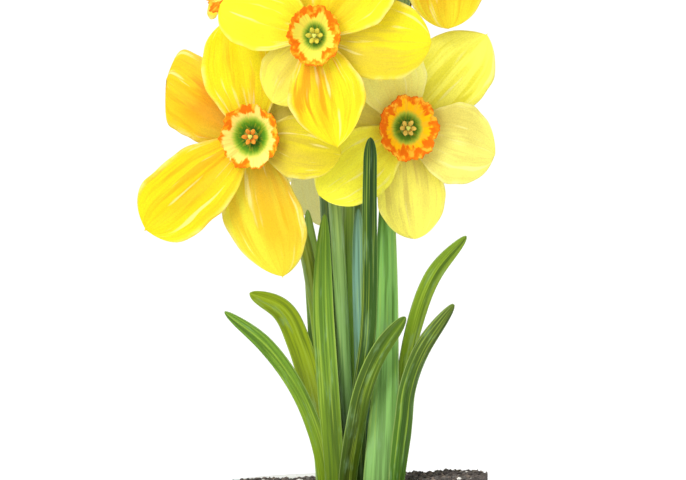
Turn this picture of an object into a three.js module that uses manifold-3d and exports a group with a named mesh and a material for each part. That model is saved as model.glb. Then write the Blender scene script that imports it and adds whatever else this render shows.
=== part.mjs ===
// Six daffodils growing in a glazed jar of potting soil. Millimetres, +Z up.
// The origin is the centre of the jar's foot, on the surface it stands on, and the flowers face -Y.
// Each flower is a ring of six petals on a tube, a ruffled orange corona, a tuft of stamens, a green
// stem that bends at the neck, and a papery sheath at that bend. Strap leaves stand round the stems.

import * as THREE from "three";
import { mergeVertices } from "three/addons/utils/BufferGeometryUtils.js";
import Module from "manifold-3d";

const wasm = await Module();
wasm.setup();

// ---------------------------------------------------------------- driving dimensions

const FIT = 0.3; // clearance between pieces that touch
const SOCKET_FIT = 0.7; // clearance round a stem or a leaf in the soil
const SOCKET_RISE = 4; // how far a hole's cutter stands out of the soil

const JAR_HEIGHT = 115.2;
const JAR_SIDES = 36;
const RIM_RADIUS = 61;
const MOUTH_RADIUS = 56;
const BELLY_RADIUS = 64;
const FOOT_RADIUS = 43;
const WALL = 4.2;
const FLOOR_HEIGHT = 8;

const SOIL_LEVEL = 120; // the plants' heights are measured from here
const SOIL_SETTLED = 4.5; // how far the surface has sunk below that
const SOIL_HEAP = 0.4; // extra height in the middle
const SOIL_SLOPE = 0.04; // rise to the right
const SOIL_TILT = 0.03; // rise to the front
const SOIL_SIDES = 3; // extra height at the left and the right
const SOIL_RADIUS = 53.8;
const SOIL_EDGE_DROP = 0.8;
const SOIL_RINGS = [46, 37, 28, 19.5, 10, 0]; // radii at which the surface has points
const ROOT_DEPTH = 13; // how far stems and leaves go down into the soil

const PETAL_THICKNESS = 0.8;
const PETAL_ROOT = 1.6; // radius where a petal leaves the middle of the flower
const WHORL_STEP = 1.1; // the three inner petals lie in front of the three outer ones
const BOSS_RADIUS = 4;
const BOSS_TOP = 2.3;
const PETAL_ROWS = [0, 0.22, 0.44, 0.65, 0.83, 0.95, 1]; // shares of a petal's reach
const PETAL_COLUMNS = 4;
const PETAL_SWEEP = 0.12; // how far the margins lag behind the middle, as a share of the half width
const PETAL_ROLL = 0.09; // how far the margins turn, as a share of the half width
const PETAL_WAVE = 1.1; // up and down at the margins near the tip
const PETAL_CURL = 1.6; // how far back the tip bends
const PETAL_WIDEST = 0.56; // share of its length where a petal is widest
// How a petal narrows past its widest place, as powers p and q of (1 - x^p)^q.
const TIPS = {
  round: [2.3, 0.5],
  drawn: [2.4, 0.66],
  pointed: [1.9, 0.78],
  blunt: [4.6, 0.55],
  square: [12, 0.42],
};
const TUBE_LENGTH = 18;
const TUBE_RADIUS = 2.3;
const TUBE_SIDES = 10;

const CORONA_RADIUS = 13;
const CORONA_DEPTH = 6.4;
const CORONA_WALL = 0.8;
const CORONA_SIDES = 20;
const CORONA_RUFFLES = 10;
const RUFFLE_OUT = 0.045; // ruffle of the rim outwards, as a share of the radius
const RUFFLE_UP = 0.7; // and along the flower

const ANTHERS = 6;
const ANTHER_LENGTH = 3.3;
const ANTHER_RADIUS = 0.66;
const STYLE_LENGTH = 4.7;
const STYLE_RADIUS = 0.6;
const THROAT_RADIUS = 2.9; // of the disc that the stamens stand on
const THROAT_RISE = 0.8;

const OVARY_LENGTH = 9;
const OVARY_RADIUS = 3.9;
const STEM_RADIUS = 2.7;
const NECK_RADIUS = 2;
const STEM_SIDES = 8;
const SCAPE_STEPS = 7; // stations on the straight part of a stem
const NECK_REACH = 7; // how far behind the seed pod the stem turns down
const NECK_DROP = 10; // and how far below the pod the bend begins
const NECK_EASE = 0.7; // roundness of the bend

const SHEATH_THICKNESS = 0.6;
const SHEATH_COLUMNS = 4;
const SHEATH_WRAP = [90, 100, 85, 60, 22]; // degrees that it wraps each way, from its root to its tip
const SHEATH_LIFT = [0, 0.2, 0.9, 1.8, 3.4]; // how far it stands off the stem

const LEAF_EDGE = 0.6; // thickness of a leaf at its margins
const LEAF_MIDDLE = 1.7; // and along its middle
const LEAF_FOOT = 0.85; // width at the ground, as a share of the greatest
const LEAF_CHANNEL = 0.16; // how far the margins rise, as a share of the half width
const LEAF_STATIONS = [0, 0.15, 0.3, 0.43, 0.55, 0.66, 0.76, 0.85, 0.93, 0.98, 1];

// ---------------------------------------------------------------- the plant, from the picture

// Where each flower's centre is (heights are above the soil), the way it faces (turn is to the right
// of straight ahead and nod is upwards, in degrees), where its stem stands in the soil, and a point
// that the stem passes on its way. A cup is the corona's radius across and up. A petal is
// [direction, reach, width, lift, lean, skew, tip]: directions are in degrees anticlockwise from the
// flower's right, the lift is forwards in degrees, the lean moves the tip sideways, anticlockwise,
// and the skew is how much farther the clockwise side reaches than the middle does.
const FLOWERS = [
  {
    name: "left",
    centre: [-43.4, -24, 142.9],
    turn: -8,
    nod: 2,
    root: [-10.8, -5.2],
    via: [-23, 0, 100],
    cup: [12.3, 13.4],
    inner: [
      [98.5, 50, 33, 4, 0, 0, "round"],
      [-11, 38, 27, 3, 0, 0, "round"],
      [221.3, 58.8, 31.5, 5, 0, 0, "blunt"],
    ],
    outer: [
      [147.5, 44.3, 31, -4, 0, 6.5, "square"],
      [43, 42, 30, -5, 0, 0, "round"],
      [-90, 58, 34, -4, 12, 3, "drawn"],
    ],
  },
  {
    name: "middle",
    centre: [-17.2, -45, 185.1],
    turn: -4,
    nod: 2,
    root: [-3.4, -6],
    via: [-9, -9, 112],
    cup: [10.9, 12.6],
    inner: [
      [-78.5, 46.6, 32, 4, 0, 0, "pointed"],
      [48, 45, 32, 5, 0, 0, "round"],
      [155, 41, 30, 4, 5, 0, "round"],
    ],
    outer: [
      [-3, 47.5, 34, -3, 0, 0, "round"],
      [102, 45, 32, -5, 0, 0, "round"],
      [236, 33, 26, -14, 0, 0, "round"],
    ],
  },
  {
    name: "right",
    centre: [20.2, -16, 146.2],
    turn: 8,
    nod: 2,
    root: [11.5, 1],
    via: [13, 8, 98],
    cup: [12.4, 13.7],
    inner: [
      [-17, 39, 34, 4, 0, 2, "round"],
      [217, 46, 30, 2, 0, 0, "round"],
      [107, 42, 30, 3, 0, 0, "round"],
    ],
    outer: [
      [51, 52.5, 33.5, -4, -3, 0, "drawn"],
      [-84.5, 46.5, 29, -3, 0, 0, "round"],
      [160, 36, 26, -4, 0, 0, "round"],
    ],
  },
  {
    name: "upper_left",
    centre: [-49.8, 7, 206],
    turn: -66,
    nod: 6,
    root: [-7.6, 6.9],
    via: [-13, 13.6, 112],
    cup: [12.6, 13],
    inner: [
      [60, 44, 32, -6, 0, 0, "round"],
      [180, 42, 30, -8, 0, 0, "round"],
      [300, 42, 30, -8, 0, 0, "round"],
    ],
    outer: [
      [0, 42, 32, -14, 0, 0, "round"],
      [120, 44, 32, -14, 0, 0, "round"],
      [240, 42, 30, -15, 0, 0, "round"],
    ],
  },
  {
    name: "upper_right",
    centre: [33, -6, 232.6],
    turn: 14,
    nod: 8,
    root: [4.6, 7.5],
    via: [1.2, 13, 112],
    cup: [12.6, 13],
    inner: [
      [-86, 45.8, 35, 3, 0, 0, "round"],
      [30, 46, 33, 4, 0, 0, "round"],
      [150, 45, 32, 4, 0, 0, "round"],
    ],
    outer: [
      [-30, 46, 33, -4, 0, 0, "round"],
      [90, 46, 33, -4, 0, 0, "round"],
      [210, 44, 32, -5, 0, 0, "round"],
    ],
  },
  {
    name: "back",
    centre: [-14, 41, 146.4],
    turn: -160,
    nod: 3,
    root: [-1, 2.2],
    via: [-4, 4, 112],
    cup: [12.6, 13],
    inner: [
      [90, 39, 30, 4, 0, 0, "round"],
      [210, 42, 30, 4, 0, 0, "round"],
      [330, 43, 31, 5, 0, 0, "round"],
    ],
    outer: [
      [30, 42, 32, -4, 0, 0, "round"],
      [150, 43, 31, -4, 0, 0, "round"],
      [270, 44, 31, -4, 0, 0, "round"],
    ],
  },
];

// Each leaf's middle line (x, y, height above the soil) from the ground to the tip, its width, the
// share of its length where the tip begins, and how far the blade is turned out of the front view
// at the ground and at the tip, in degrees. Two leaves have a width of their own at the foot, as a
// share of the greatest.
const LEAVES = [
  {
    name: "leaf_left_low",
    width: 8.5,
    tip: 0.7,
    turn: [40, 25],
    line: [[-13, -8.6, 0], [-17.4, -9, 20], [-25.8, -10.5, 38.7], [-38.5, -12, 56], [-55.3, -14, 69.5]],
  },
  {
    name: "leaf_left_high",
    width: 12,
    tip: 0.78,
    turn: [50, 10],
    line: [[-10.8, 3.4, 0], [-16.2, 4.2, 26], [-24, 4, 55], [-31.2, 2, 69], [-45, -1, 76.5]],
  },
  {
    name: "leaf_right_low",
    width: 8.5,
    foot: 0.72,
    tip: 0.7,
    turn: [155, 160],
    line: [[16.8, -20.6, 0], [19.6, -18.4, 24], [21.4, -16, 38], [27, -13.5, 53], [40.4, -13, 72.5]],
  },
  {
    name: "leaf_right_high",
    width: 8.4,
    tip: 0.78,
    turn: [125, 165],
    line: [[17.8, 4, 0], [19.3, 3.5, 33], [24, 2, 61], [32.3, 0, 83.7], [45.8, -3, 100.5]],
  },
  {
    name: "leaf_front_cross",
    width: 8.5,
    tip: 0.82,
    turn: [165, 170],
    line: [[-3.8, -17, 0], [-1.5, -19, 16], [2.3, -21, 36], [9.3, -22.5, 53], [20, -24, 68]],
  },
  {
    name: "leaf_front_tall",
    width: 7,
    tip: 0.93,
    turn: [10, 0],
    line: [
      [0.4, -9.4, 0],
      [0.9, -11.4, 30],
      [4.4, -17, 58],
      [5.2, -19.5, 76],
      [5.2, -30, 114],
      [5.4, -38, 143],
    ],
  },
  {
    name: "leaf_right_broad",
    width: 13.5,
    foot: 1.22,
    tip: 0.95,
    turn: [10, 58],
    line: [[10.7, -15.6, 0], [12.2, -10.8, 34], [13, -4.5, 72], [13.2, -3, 118]],
  },
  {
    name: "leaf_left_broad",
    width: 9.6,
    tip: 0.62,
    turn: [20, 5],
    line: [[-9.1, -14, 0], [-11.6, -12.8, 34], [-13.8, -9.5, 66], [-14.2, -8, 90], [-13.6, -8, 110]],
  },
  {
    name: "leaf_left_pale",
    width: 8.5,
    tip: 0.7,
    turn: [-58, 20],
    line: [[-15.3, 11, 0], [-16.4, 10, 36], [-17.5, 8.6, 70], [-20.8, 7.8, 111]],
  },
  {
    name: "leaf_back_left",
    width: 9.5,
    tip: 0.72,
    turn: [-20, -10],
    line: [[-7, 14.2, 0], [-8.2, 18, 34], [-10.2, 24, 66], [-12, 35, 98]],
  },
  {
    name: "leaf_back_middle",
    width: 9.5,
    tip: 0.72,
    turn: [0, 10],
    line: [[2.4, 16.4, 0], [2, 20.4, 34], [1.5, 28, 64], [3, 44, 84]],
  },
  {
    name: "leaf_back_right",
    width: 9.5,
    tip: 0.72,
    turn: [25, 10],
    line: [[10.6, 11.5, 0], [11.4, 15, 36], [12, 22, 70], [12.4, 35, 100]],
  },
  {
    name: "leaf_middle_slim",
    width: 6,
    tip: 0.85,
    turn: [15, 5],
    line: [[3.4, -3.6, 0], [2.2, -3.8, 36], [0.8, -4, 76], [0.4, -3, 112]],
  },
];

// ---------------------------------------------------------------- colours

function paint(color, roughness) {
  return new THREE.MeshStandardMaterial({ color, roughness, metalness: 0 });
}

const GLAZE = paint("#eef0ee", 0.25);
const SOIL = paint("#4f4742", 0.95);
const PETAL = paint("#fae52e", 0.6);
const CORONA = paint("#ee8f14", 0.6);
const ANTHER = paint("#c79a1c", 0.8);
const STEM = paint("#6f9138", 0.55);
const LEAF = paint("#66892a", 0.5);
const SHEATH = paint("#c9a66b", 0.85);

// ---------------------------------------------------------------- making solids

function solidOf(geometry) {
  const bare = geometry.clone();
  bare.deleteAttribute("normal");
  bare.deleteAttribute("uv");
  const merged = mergeVertices(bare, 1e-4);
  return new wasm.Manifold(
    new wasm.Mesh({
      numProp: 3,
      vertProperties: new Float32Array(merged.attributes.position.array),
      triVerts: new Uint32Array(merged.index.array),
    }),
  );
}

function geometryOf(solid) {
  const { numProp, numVert, vertProperties, triVerts } = solid.getMesh();
  const position = new Float32Array(numVert * 3);
  for (let i = 0; i < numVert; i++) {
    position.set(vertProperties.subarray(i * numProp, i * numProp + 3), i * 3);
  }
  const geometry = new THREE.BufferGeometry();
  geometry.setAttribute("position", new THREE.BufferAttribute(position, 3));
  geometry.setIndex(new THREE.BufferAttribute(triVerts, 1));
  geometry.computeVertexNormals();
  return geometry;
}

function meshOf(name, geometry, material) {
  const mesh = new THREE.Mesh(geometry, material);
  mesh.name = name;
  return mesh;
}

// Points and triangles as one closed geometry, turned round if its faces point inwards.
function closedGeometry(points, triangles) {
  let volume = 0;
  for (const [a, b, c] of triangles) {
    volume += points[a].dot(points[b].clone().cross(points[c]));
  }
  const facing = volume < 0 ? triangles.map(([a, b, c]) => [a, c, b]) : triangles;
  const geometry = new THREE.BufferGeometry().setFromPoints(points);
  geometry.setIndex(facing.flat());
  geometry.computeVertexNormals();
  return geometry;
}

// Points round a circle in the plane of two directions.
function circle(centre, u, v, radius, sides) {
  const ring = [];
  for (let k = 0; k < sides; k++) {
    const angle = (2 * Math.PI * k) / sides;
    const point = centre.clone().addScaledVector(u, radius * Math.cos(angle));
    ring.push(point.addScaledVector(v, radius * Math.sin(angle)));
  }
  return ring;
}

// A skin through rings of points, closed at both ends by a fan from each end ring's first point.
function loft(rings) {
  const count = rings[0].length;
  const triangles = [];
  for (let i = 0; i + 1 < rings.length; i++) {
    for (let j = 0; j < count; j++) {
      const a = i * count + j;
      const b = i * count + ((j + 1) % count);
      triangles.push([a, b, a + count], [b, b + count, a + count]);
    }
  }
  const last = (rings.length - 1) * count;
  for (let j = 1; j + 1 < count; j++) {
    triangles.push([0, j + 1, j], [last, last + j, last + j + 1]);
  }
  return closedGeometry(rings.flat(), triangles);
}

// A thin sheet: point(i, j) is its middle surface on a grid, and half its thickness, along
// `through`, lies on each side. Both faces are split into the same triangles.
function sheet(rows, columns, point, through) {
  const middle = [];
  for (let i = 0; i <= rows; i++) {
    for (let j = 0; j <= columns; j++) middle.push(point(i, j));
  }
  const count = middle.length;
  const push = (side) => middle.map((p, k) => p.clone().addScaledVector(through(k), side));
  const points = [...push(1), ...push(-1)];
  const at = (i, j) => i * (columns + 1) + j;
  const triangles = [];
  for (let i = 0; i < rows; i++) {
    for (let j = 0; j < columns; j++) {
      const quad = [at(i, j), at(i, j + 1), at(i + 1, j + 1), at(i + 1, j)];
      const split = 2 * j < columns ? [[0, 1, 2], [0, 2, 3]] : [[0, 1, 3], [1, 2, 3]];
      for (const corners of split) {
        const [a, b, c] = corners.map((k) => quad[k]);
        triangles.push([a, b, c], [a + count, c + count, b + count]);
      }
    }
  }
  const border = [];
  for (let j = 0; j < columns; j++) border.push([at(0, j), at(0, j + 1)]);
  for (let i = 0; i < rows; i++) border.push([at(i, columns), at(i + 1, columns)]);
  for (let j = columns; j > 0; j--) border.push([at(rows, j), at(rows, j - 1)]);
  for (let i = rows; i > 0; i--) border.push([at(i, 0), at(i - 1, 0)]);
  for (const [a, b] of border) {
    triangles.push([b, a, a + count], [b, a + count, b + count]);
  }
  return closedGeometry(points, triangles);
}

// A profile of [radius, height] points turned about the Z axis.
function turned(profile, sides) {
  const points = profile.map(([r, z]) => new THREE.Vector2(r, z));
  return new THREE.LatheGeometry(points, sides).rotateX(Math.PI / 2);
}

const radians = THREE.MathUtils.degToRad;
const clamp01 = (v) => Math.min(1, Math.max(0, v));

// ---------------------------------------------------------------- jar and soil

// The jar's wall, thrown in one piece: a flat foot, a round body, a short neck and a rolled lip.
function jar() {
  const neck = MOUTH_RADIUS + WALL * 0.45;
  const outside = [
    [0, 0],
    [FOOT_RADIUS, 0],
    [FOOT_RADIUS + 2, 2.5],
    [FOOT_RADIUS + 12, 22],
    [BELLY_RADIUS - 1.5, 44],
    [BELLY_RADIUS, 66],
    [BELLY_RADIUS - 2.5, 88],
    [neck + 0.6, 101],
    [neck, 106],
    [RIM_RADIUS, 111],
    [RIM_RADIUS, JAR_HEIGHT - 2],
    [RIM_RADIUS - 1.6, JAR_HEIGHT],
  ];
  return turned([...outside, ...innerWall().reverse()], JAR_SIDES);
}

// The inside of the wall, from the axis up to the lip.
function innerWall() {
  return [
    [0, FLOOR_HEIGHT],
    [FOOT_RADIUS - 3, FLOOR_HEIGHT],
    [FOOT_RADIUS + 8.5, 26],
    [BELLY_RADIUS - WALL, 62],
    [BELLY_RADIUS - WALL - 3, 86],
    [MOUTH_RADIUS - 2.4, 102],
    [MOUTH_RADIUS, JAR_HEIGHT - 0.4],
  ];
}

// Crumbs and clods on the soil's surface, above and below its level, and its slopes.
function soilRelief(x, y) {
  const fine = Math.sin(0.83 * x + 1.1) * Math.sin(0.91 * y + 0.4);
  const coarse = Math.sin(0.21 * x - 0.3 * y + 2) + Math.sin(0.17 * x + 0.24 * y);
  const lie = SOIL_SLOPE * x - SOIL_TILT * y + SOIL_SIDES * Math.pow(x / SOIL_RADIUS, 2);
  return 0.5 * fine + 0.45 * coarse + lie;
}

// Soil fills the jar. Stems and leaves stand in plain holes in it.
function soil(sockets) {
  const wall = innerWall().slice(0, -1);
  const side = wall.map(([r, z]) => [Math.max(0, r - FIT), z + FIT]);
  const level = SOIL_LEVEL - SOIL_SETTLED;
  const edge = [SOIL_RADIUS, level - SOIL_EDGE_DROP];
  const surface = SOIL_RINGS.map((r) => [r, level]);
  const geometry = turned([...side, edge, ...surface], JAR_SIDES);
  const at = geometry.attributes.position;
  for (let i = 0; i < at.count; i++) {
    if (at.getZ(i) < level - SOIL_EDGE_DROP - FIT) continue;
    const share = Math.hypot(at.getX(i), at.getY(i)) / SOIL_RADIUS;
    const heap = SOIL_HEAP * (1 - share * share);
    at.setZ(i, at.getZ(i) + heap + soilRelief(at.getX(i), at.getY(i)));
  }
  let body = solidOf(geometry);
  for (const socket of sockets) body = body.subtract(solidOf(socket));
  return geometryOf(body);
}

// ---------------------------------------------------------------- leaves

// A point list as a smooth curve that first runs down to the root below the soil.
function growingLine(line) {
  const points = line.map(([x, y, z]) => new THREE.Vector3(x, y, SOIL_LEVEL + z));
  const foot = points[0].clone().setZ(SOIL_LEVEL - ROOT_DEPTH);
  return new THREE.CatmullRomCurve3([foot, ...points], false, "centripetal");
}

// How wide a leaf is along its length: a strap that changes from the width of its foot, narrows a
// little towards the tip, and rounds off from its own share of the length on.
function strapWidth(t, leaf) {
  const foot = leaf.foot ?? LEAF_FOOT;
  const base = foot + (1 - foot) * clamp01(t / 0.35) - 0.2 * clamp01((t - 0.35) / 0.65);
  const tip = Math.sqrt(1 - Math.pow(clamp01((t - leaf.tip) / (1 - leaf.tip)), 2.4));
  return base * Math.max(0.2, tip);
}

// A leaf's section at one station is a shallow channel, thick in the middle and thin at the edges.
function leafRing(curve, t, leaf, grow) {
  const at = curve.getPointAt(t);
  const along = curve.getTangentAt(t);
  const across = along.clone().cross(new THREE.Vector3(0, 1, 0)).normalize();
  const depth = across.clone().cross(along).normalize();
  const turn = radians(THREE.MathUtils.lerp(leaf.turn[0], leaf.turn[1], t));
  const wide = across.clone().multiplyScalar(Math.cos(turn)).addScaledVector(depth, Math.sin(turn));
  const through = along.clone().cross(wide).normalize();
  const strap = strapWidth(t, leaf);
  const half = (leaf.width / 2) * strap + grow;
  const middle = (LEAF_MIDDLE / 2) * (0.45 + 0.55 * strap) + grow;
  const edge = LEAF_EDGE / 2 + grow;
  const rise = LEAF_CHANNEL * half;
  const corners = [
    [0, -middle],
    [half, rise - edge],
    [half, rise + edge],
    [0, middle],
    [-half, rise + edge],
    [-half, rise - edge],
  ];
  return corners.map(([u, v]) => at.clone().addScaledVector(wide, u).addScaledVector(through, v));
}

function leafBlade(leaf) {
  const curve = growingLine(leaf.line);
  return loft(LEAF_STATIONS.map((t) => leafRing(curve, t, leaf, 0)));
}

// The hole that a leaf stands in: its own section, larger by the clearance, past the surface.
function leafSocket(leaf) {
  const curve = growingLine(leaf.line);
  const top = (ROOT_DEPTH + SOCKET_RISE) / curve.getLength();
  const rings = [0, top].map((t) => leafRing(curve, t, leaf, SOCKET_FIT));
  for (const p of rings[0]) p.z -= FIT;
  return loft(rings);
}

// ---------------------------------------------------------------- stems

function facing(flower) {
  const turn = radians(flower.turn);
  const nod = radians(flower.nod);
  return new THREE.Vector3(Math.sin(turn) * Math.cos(nod), -Math.cos(turn) * Math.cos(nod), Math.sin(nod));
}

function centreOf(flower) {
  const [x, y, z] = flower.centre;
  return new THREE.Vector3(x, y, SOIL_LEVEL + z);
}

// Stations along a stem, from its root to the seed pod behind the flower: place and radius.
function stemStations(flower) {
  const ahead = facing(flower);
  const pod = centreOf(flower).addScaledVector(ahead, -TUBE_LENGTH - FIT);
  const podEnd = pod.clone().addScaledVector(ahead, -OVARY_LENGTH);
  const back = ahead.clone().setZ(0).normalize().negate();
  const crook = podEnd.clone().addScaledVector(back, NECK_REACH);
  crook.z -= NECK_DROP;
  const [x, y] = flower.root;
  const foot = new THREE.Vector3(x, y, SOIL_LEVEL - ROOT_DEPTH);
  const ground = new THREE.Vector3(x, y, SOIL_LEVEL);
  const via = new THREE.Vector3(...flower.via);
  via.z += SOIL_LEVEL;
  const scape = new THREE.CatmullRomCurve3([foot, ground, via, crook], false, "centripetal");
  const stations = [];
  for (let i = 0; i < SCAPE_STEPS; i++) {
    stations.push({ at: scape.getPointAt(i / SCAPE_STEPS), radius: STEM_RADIUS });
  }
  const rising = scape.getTangentAt(1);
  const bend = new THREE.CubicBezierCurve3(
    crook,
    crook.clone().addScaledVector(rising, NECK_DROP * NECK_EASE),
    podEnd.clone().addScaledVector(ahead, -NECK_REACH * NECK_EASE),
    podEnd,
  );
  for (const t of [0, 0.33, 0.66, 1]) {
    stations.push({ at: bend.getPointAt(t), radius: THREE.MathUtils.lerp(STEM_RADIUS, NECK_RADIUS, t) });
  }
  const swelling = [[0.3, 0.82], [0.6, 1], [0.85, 0.87], [1, TUBE_RADIUS / OVARY_RADIUS]];
  for (const [t, share] of swelling) {
    const radius = share * OVARY_RADIUS;
    stations.push({ at: podEnd.clone().lerp(pod, t), radius });
  }
  return stations;
}

// Directions across a stem at a station: `side` is level, and `out` is to the outside of the bend.
function stemFrame(stations, i, flower) {
  const before = stations[Math.max(0, i - 1)].at;
  const after = stations[Math.min(stations.length - 1, i + 1)].at;
  const along = after.clone().sub(before).normalize();
  const level = facing(flower).setZ(0).normalize().cross(new THREE.Vector3(0, 0, 1));
  const side = level.addScaledVector(along, -level.dot(along)).normalize();
  return { side, out: side.clone().cross(along).normalize() };
}

function stemRing(stations, i, flower, grow) {
  const { side, out } = stemFrame(stations, i, flower);
  return circle(stations[i].at, side, out, stations[i].radius + grow, STEM_SIDES);
}

function stem(flower) {
  const stations = stemStations(flower);
  return loft(stations.map((_, i) => stemRing(stations, i, flower, 0)));
}

// The round hole that a stem stands in.
function stemSocket(flower) {
  const stations = stemStations(flower).slice(0, 2);
  const rings = stations.map((_, i) => stemRing(stations, i, flower, SOCKET_FIT));
  for (const p of rings[0]) p.z -= FIT;
  return loft(rings);
}

// The dry sheath that the bud broke out of: a thin scoop that clasps the outside of the bend.
function sheath(flower) {
  const all = stemStations(flower);
  const first = SCAPE_STEPS - 1;
  const outwards = [];
  const point = (i, j) => {
    const { at, radius } = all[first + i];
    const { side, out } = stemFrame(all, first + i, flower);
    const angle = radians(SHEATH_WRAP[i] * ((2 * j) / SHEATH_COLUMNS - 1));
    const direction = out.multiplyScalar(Math.cos(angle)).addScaledVector(side, Math.sin(angle));
    outwards.push(direction);
    const clear = radius / Math.cos(Math.PI / STEM_SIDES) + FIT + SHEATH_THICKNESS / 2;
    return at.clone().addScaledVector(direction, clear + SHEATH_LIFT[i]);
  };
  const through = (k) => outwards[k].clone().multiplyScalar(SHEATH_THICKNESS / 2);
  return sheet(SHEATH_WRAP.length - 1, SHEATH_COLUMNS, point, through);
}

// ---------------------------------------------------------------- flowers

// A petal's half width along its length, as a share of its greatest: narrow at the root, widest
// past the middle, then closing to the tip.
function petalWidth(t, tip) {
  const [p, q] = TIPS[tip];
  const rising = 0.2 + 0.8 * Math.sin((Math.PI / 2) * clamp01(t / PETAL_WIDEST));
  const closing = Math.pow(1 - Math.pow(clamp01((t - PETAL_WIDEST) / (1 - PETAL_WIDEST)), p), q);
  return rising * Math.max(0.12, closing);
}

// One petal in the flower's own frame, which looks along +Z: a sheet with a shallow groove down
// its middle, margins that turn forwards on inner petals and back on outer ones, and a slow wave.
function petal([direction, reach, width, lift, lean, skew, tip], inner) {
  const away = new THREE.Vector3(Math.cos(radians(direction)), Math.sin(radians(direction)), 0);
  const aside = new THREE.Vector3(-away.y, away.x, 0);
  const sign = inner ? 1 : -1;
  const slope = Math.tan(radians(lift));
  const point = (i, j) => {
    const t = PETAL_ROWS[i];
    const s = (2 * j) / PETAL_COLUMNS - 1;
    const half = (width / 2) * petalWidth(t, tip);
    const lag = PETAL_SWEEP * half * s * s * t + skew * s * (half / width) * 2 * t * t * t;
    const out = THREE.MathUtils.lerp(PETAL_ROOT, reach, t) - lag;
    const climb = Math.max(0, out - BOSS_RADIUS) * slope;
    const roll = sign * PETAL_ROLL * half * s * s;
    const wave = PETAL_WAVE * t * t * s * Math.sin(5 * t + direction);
    const curl = -PETAL_CURL * t * t * t;
    const height = sign * WHORL_STEP + climb + roll + wave + curl;
    const across = half * s + lean * t * t;
    return away.clone().multiplyScalar(out).addScaledVector(aside, across).setZ(height);
  };
  const through = new THREE.Vector3(0, 0, PETAL_THICKNESS / 2);
  return sheet(PETAL_ROWS.length - 1, PETAL_COLUMNS, point, () => through);
}

// Six petals in two rings of three, grown together on the slim tube behind them.
function bloom(flower) {
  const tube = [
    [0, -TUBE_LENGTH],
    [TUBE_RADIUS, -TUBE_LENGTH],
    [TUBE_RADIUS + 0.1, -0.5 * TUBE_LENGTH],
    [TUBE_RADIUS + 0.9, -0.22 * TUBE_LENGTH],
    [BOSS_RADIUS, -1.5],
    [BOSS_RADIUS, BOSS_TOP],
    [0, BOSS_TOP],
  ];
  let body = solidOf(turned(tube, TUBE_SIDES));
  for (const shape of flower.inner) body = body.add(solidOf(petal(shape, true)));
  for (const shape of flower.outer) body = body.add(solidOf(petal(shape, false)));
  return geometryOf(body);
}

// The corona, a shallow cup: a bowl with a ruffled rim, seated on the middle of the flower. It is
// turned at its full radius and then made as wide and as tall as the flower's own cup.
function corona(flower) {
  const low = BOSS_TOP + FIT;
  const bowl = [[0.36, 0], [0.6, 0.28], [0.82, 0.68]];
  const outside = bowl.map(([r, z]) => [r * CORONA_RADIUS, low + z * CORONA_DEPTH]);
  const inside = outside.map(([r, z]) => [r - 0.6 * CORONA_WALL, z + CORONA_WALL]).reverse();
  const rim = [
    [CORONA_RADIUS, low + CORONA_DEPTH],
    [CORONA_RADIUS - 0.6 * CORONA_WALL, low + CORONA_DEPTH + 0.6 * CORONA_WALL],
  ];
  const profile = [[0, low], ...outside, ...rim, ...inside, [0, low + CORONA_WALL]];
  const geometry = turned(profile, CORONA_SIDES);
  const at = geometry.attributes.position;
  for (let i = 0; i < at.count; i++) {
    const [x, y, z] = [at.getX(i), at.getY(i), at.getZ(i)];
    const share = Math.pow(Math.hypot(x, y) / CORONA_RADIUS, 3);
    const ruffle = share * Math.cos(CORONA_RUFFLES * Math.atan2(y, x));
    const spread = 1 + RUFFLE_OUT * ruffle;
    at.setXYZ(i, x * spread, y * spread, z + RUFFLE_UP * ruffle);
  }
  const [wide, tall] = flower.cup;
  return geometry.scale(wide / CORONA_RADIUS, tall / CORONA_RADIUS, 1);
}

// A spindle with its ends on the given line, widest in the middle.
function spindle(from, to, radius, sides) {
  const along = to.clone().sub(from).normalize();
  const side = Math.abs(along.z) > 0.9 ? new THREE.Vector3(1, 0, 0) : new THREE.Vector3(0, 0, 1);
  const u = side.cross(along).normalize();
  const v = along.clone().cross(u);
  const shape = [[0, 0.5], [0.5, 1], [1, 0.4]];
  return loft(shape.map(([t, share]) => circle(from.clone().lerp(to, t), u, v, radius * share, sides)));
}

// Six anthers round a style, on one small disc that sits in the throat of the corona.
function stamens() {
  const floor = BOSS_TOP + FIT + CORONA_WALL + FIT;
  const foot = floor + THROAT_RISE / 2; // anthers and style stand this deep in the disc
  const top = floor + THROAT_RISE;
  const disc = [[0, floor], [THROAT_RADIUS, floor], [0.9 * THROAT_RADIUS, top], [0, top]];
  let body = solidOf(turned(disc, 8));
  for (let k = 0; k < ANTHERS; k++) {
    const angle = (2 * Math.PI * k) / ANTHERS;
    const out = new THREE.Vector3(Math.cos(angle), Math.sin(angle), 0);
    const low = out.clone().multiplyScalar(0.58 * THROAT_RADIUS).setZ(foot);
    const high = out.clone().multiplyScalar(0.8 * THROAT_RADIUS).setZ(foot + ANTHER_LENGTH);
    body = body.add(solidOf(spindle(low, high, ANTHER_RADIUS, 3)));
  }
  const low = new THREE.Vector3(0, 0, foot);
  const high = new THREE.Vector3(0, 0, foot + STYLE_LENGTH);
  return geometryOf(body.add(solidOf(spindle(low, high, STYLE_RADIUS, 4))));
}

// ---------------------------------------------------------------- the assembly

const root = new THREE.Group();
root.name = "daffodils_in_jar";

root.add(meshOf("jar", jar(), GLAZE));
const sockets = [...FLOWERS.map(stemSocket), ...LEAVES.map(leafSocket)];
root.add(meshOf("soil", soil(sockets), SOIL));

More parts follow.
